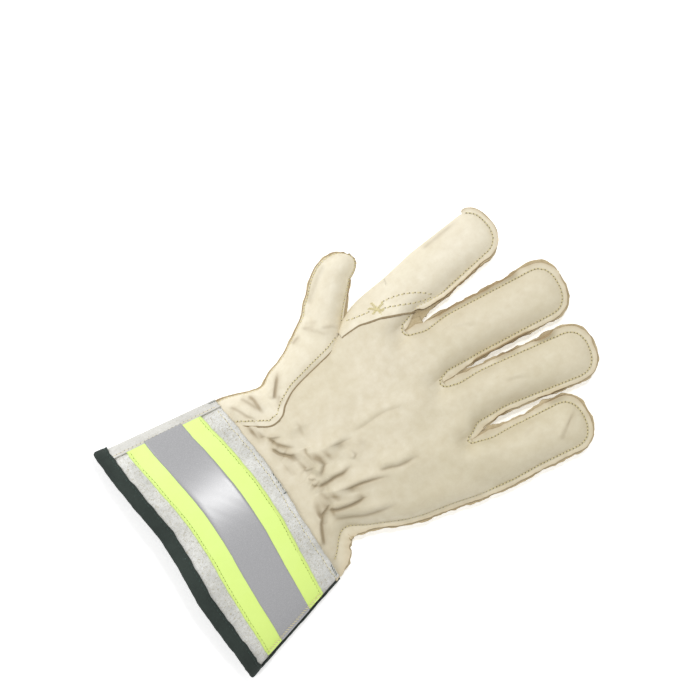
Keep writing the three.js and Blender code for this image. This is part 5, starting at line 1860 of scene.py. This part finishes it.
closed_outline = np.r_[palm_outline, palm_outline[:1]]
front_start = hand_plan(np.full(60, FRONTS_START), np.linspace(1.12, 2.88, 60))[0]
strip_line = resampled(THUMB_STRIP_SEAM[1:-1], 1.0)
lower_rows = [
    lower_row(offset_path(closed_outline, -PATCH_ROWS[0]), palm_patch, 50),
    lower_row(offset_path(closed_outline, -PATCH_ROWS[1]), palm_patch, 51),
    lower_row(offset_path(heel_arc[4:-4], -PATCH_ROWS[0]), wrist_patch, 53),
    lower_row(front_start + (FRONT_ROWS[0], 0), front_patches[0], 55),
    lower_row(front_start + (FRONT_ROWS[1], 0), front_patches[0], 56),
    lower_row(offset_path(strip_line, STRIP_ROW), palm_patches[0], 58),
]
add_stitches("lower_stitches", lower_rows, YELLOW_STITCHES)


# The stitches of the cuff: pale rows through the canvas beside the wrist edge and the wrap, lime rows
# along the tape, a slanted row at the tape's end, and a dark row through the binding.
CANVAS_ROW, TAPE_INSET, TAPE_END_ROW = 2.6, 1.7, np.pi - 0.31
lime_thread = make_thread("lime_thread", (0.62, 0.80, 0.20), (0.45, 0.62, 0.12))
# The holes of the lime rows: a painted shade in each needle hole
lime_hole_shade = make_thread("lime_hole_shade", (0.34, 0.46, 0.08), (0.26, 0.36, 0.05))
dark_thread = make_thread("dark_green_thread", (0.06, 0.10, 0.085), (0.03, 0.045, 0.04))


def cuff_row(along, turns, grow, seed, pitch=2.6, **look):
    """Stitches on the cuff: along and turns give a line, and grow how far out of the canvas it lies."""
    line = cuff_point(along, turns, grow)
    t = path_length(line)
    at = spaced(t, pitch)
    along, turns = np.interp(at, t, along), np.interp(at, t, turns)
    points = cuff_point(along, turns, grow)
    round_it = cuff_point(along, turns + 0.01, grow) - cuff_point(along, turns - 0.01, grow)
    along_it = cuff_point(along - 0.01, turns, grow) - cuff_point(along + 0.01, turns, grow)
    return stitch_facts(points, unit(np.cross(along_it, round_it)), seed, **look)


back_line = np.linspace(WRAP_TURN + 0.02, np.pi - 0.16, 300)
wrist_row = (CANVAS_ROW + 0.5 * ripple(back_line * ROUND_CANVAS, 91)) / CUFF_LENGTH + set_back(back_line)
wrap_row = np.linspace(0.03, 0.9, 120)
wrap_line = np.full(120, WRAP_TURN - 0.035)
tape_half = TAPE_WIDTH / 2 / CUFF_LENGTH
tape_rows = []
for seed, side in enumerate((-1, 1)):
    wander = 0.25 * ripple(back_line * ROUND_CANVAS, 95 + seed) / CUFF_LENGTH
    row = tape_middle(back_line) + side * (tape_half - TAPE_INSET / CUFF_LENGTH) + wander
    out = GAP + TAPE + 0.05
    tape_rows.append(cuff_row(row, back_line, out, 95 + seed, pitch=2.5, length=1.5, hole=0.34))
end_row = tape_middle(TAPE_END_ROW) + tape_half * np.linspace(-0.96, 0.96, 80)
end_line = np.full(80, TAPE_END_ROW)
canvas_rows = [
    cuff_row(wrist_row, back_line, 0.1, 91, length=1.7, hole=0.3),
    cuff_row(wrap_row, wrap_line, 1.05, 93, length=1.8, hole=0.3),
    cuff_row(end_row, end_line, GAP + TAPE + 0.6, 98, pitch=1.7, slant=0.9, length=2.3, hole=0.1),
]
binding_line = np.linspace(0.06, np.pi - 0.06, 300)
hem_line = HEM_WAVE * ripple(binding_line * ROUND_MOUTH, 61)
binding_row = binding_from + (BINDING_ROW + hem_line) / CUFF_LENGTH
dark_rows = [cuff_row(binding_row, binding_line, outer - 0.1, 99, pitch=3.0, length=2.0, hole=0.2)]
add_stitches("canvas_stitches", canvas_rows, YELLOW_STITCHES, 0.28)
add_stitches("tape_stitches", tape_rows, (lime_thread, lime_hole_shade), 0.24)
add_stitches("binding_stitches", dark_rows, (dark_thread, dark_thread), 0.26)


# The loose dark threads at the wrist edge of the canvas: one frayed out of the edge over the back of the
# hand, with its end curled up, and the tacks at the two corners.
fray = np.linspace(1.434, 1.63, 40)
curl = set_back(fray[-1]) + np.linspace(-0.012, 0.016, 12)
corner = np.linspace(2.6, 2.9, 30)
tack = np.linspace(0.0, 0.055, 12)
loose_rows = [
    cuff_row(set_back(fray) + 0.002, fray, 0.1, 101, pitch=2.3, slant=0.35, length=1.5, hole=NO_HOLE),
    cuff_row(curl, np.full(12, 1.65), 0.3, 102, pitch=1.0, slant=0.6, length=1.5, hole=NO_HOLE),
    cuff_row(0.012 + 0 * corner, corner, 0.3, 103, pitch=1.7, slant=0.7, length=1.9, hole=NO_HOLE),
    cuff_row(tack, np.full(12, 0.25), 1.2, 104, pitch=1.2, slant=0.5, length=1.8, hole=NO_HOLE),
]
add_stitches("loose_threads", loose_rows, (dark_thread, dark_thread), 0.24)
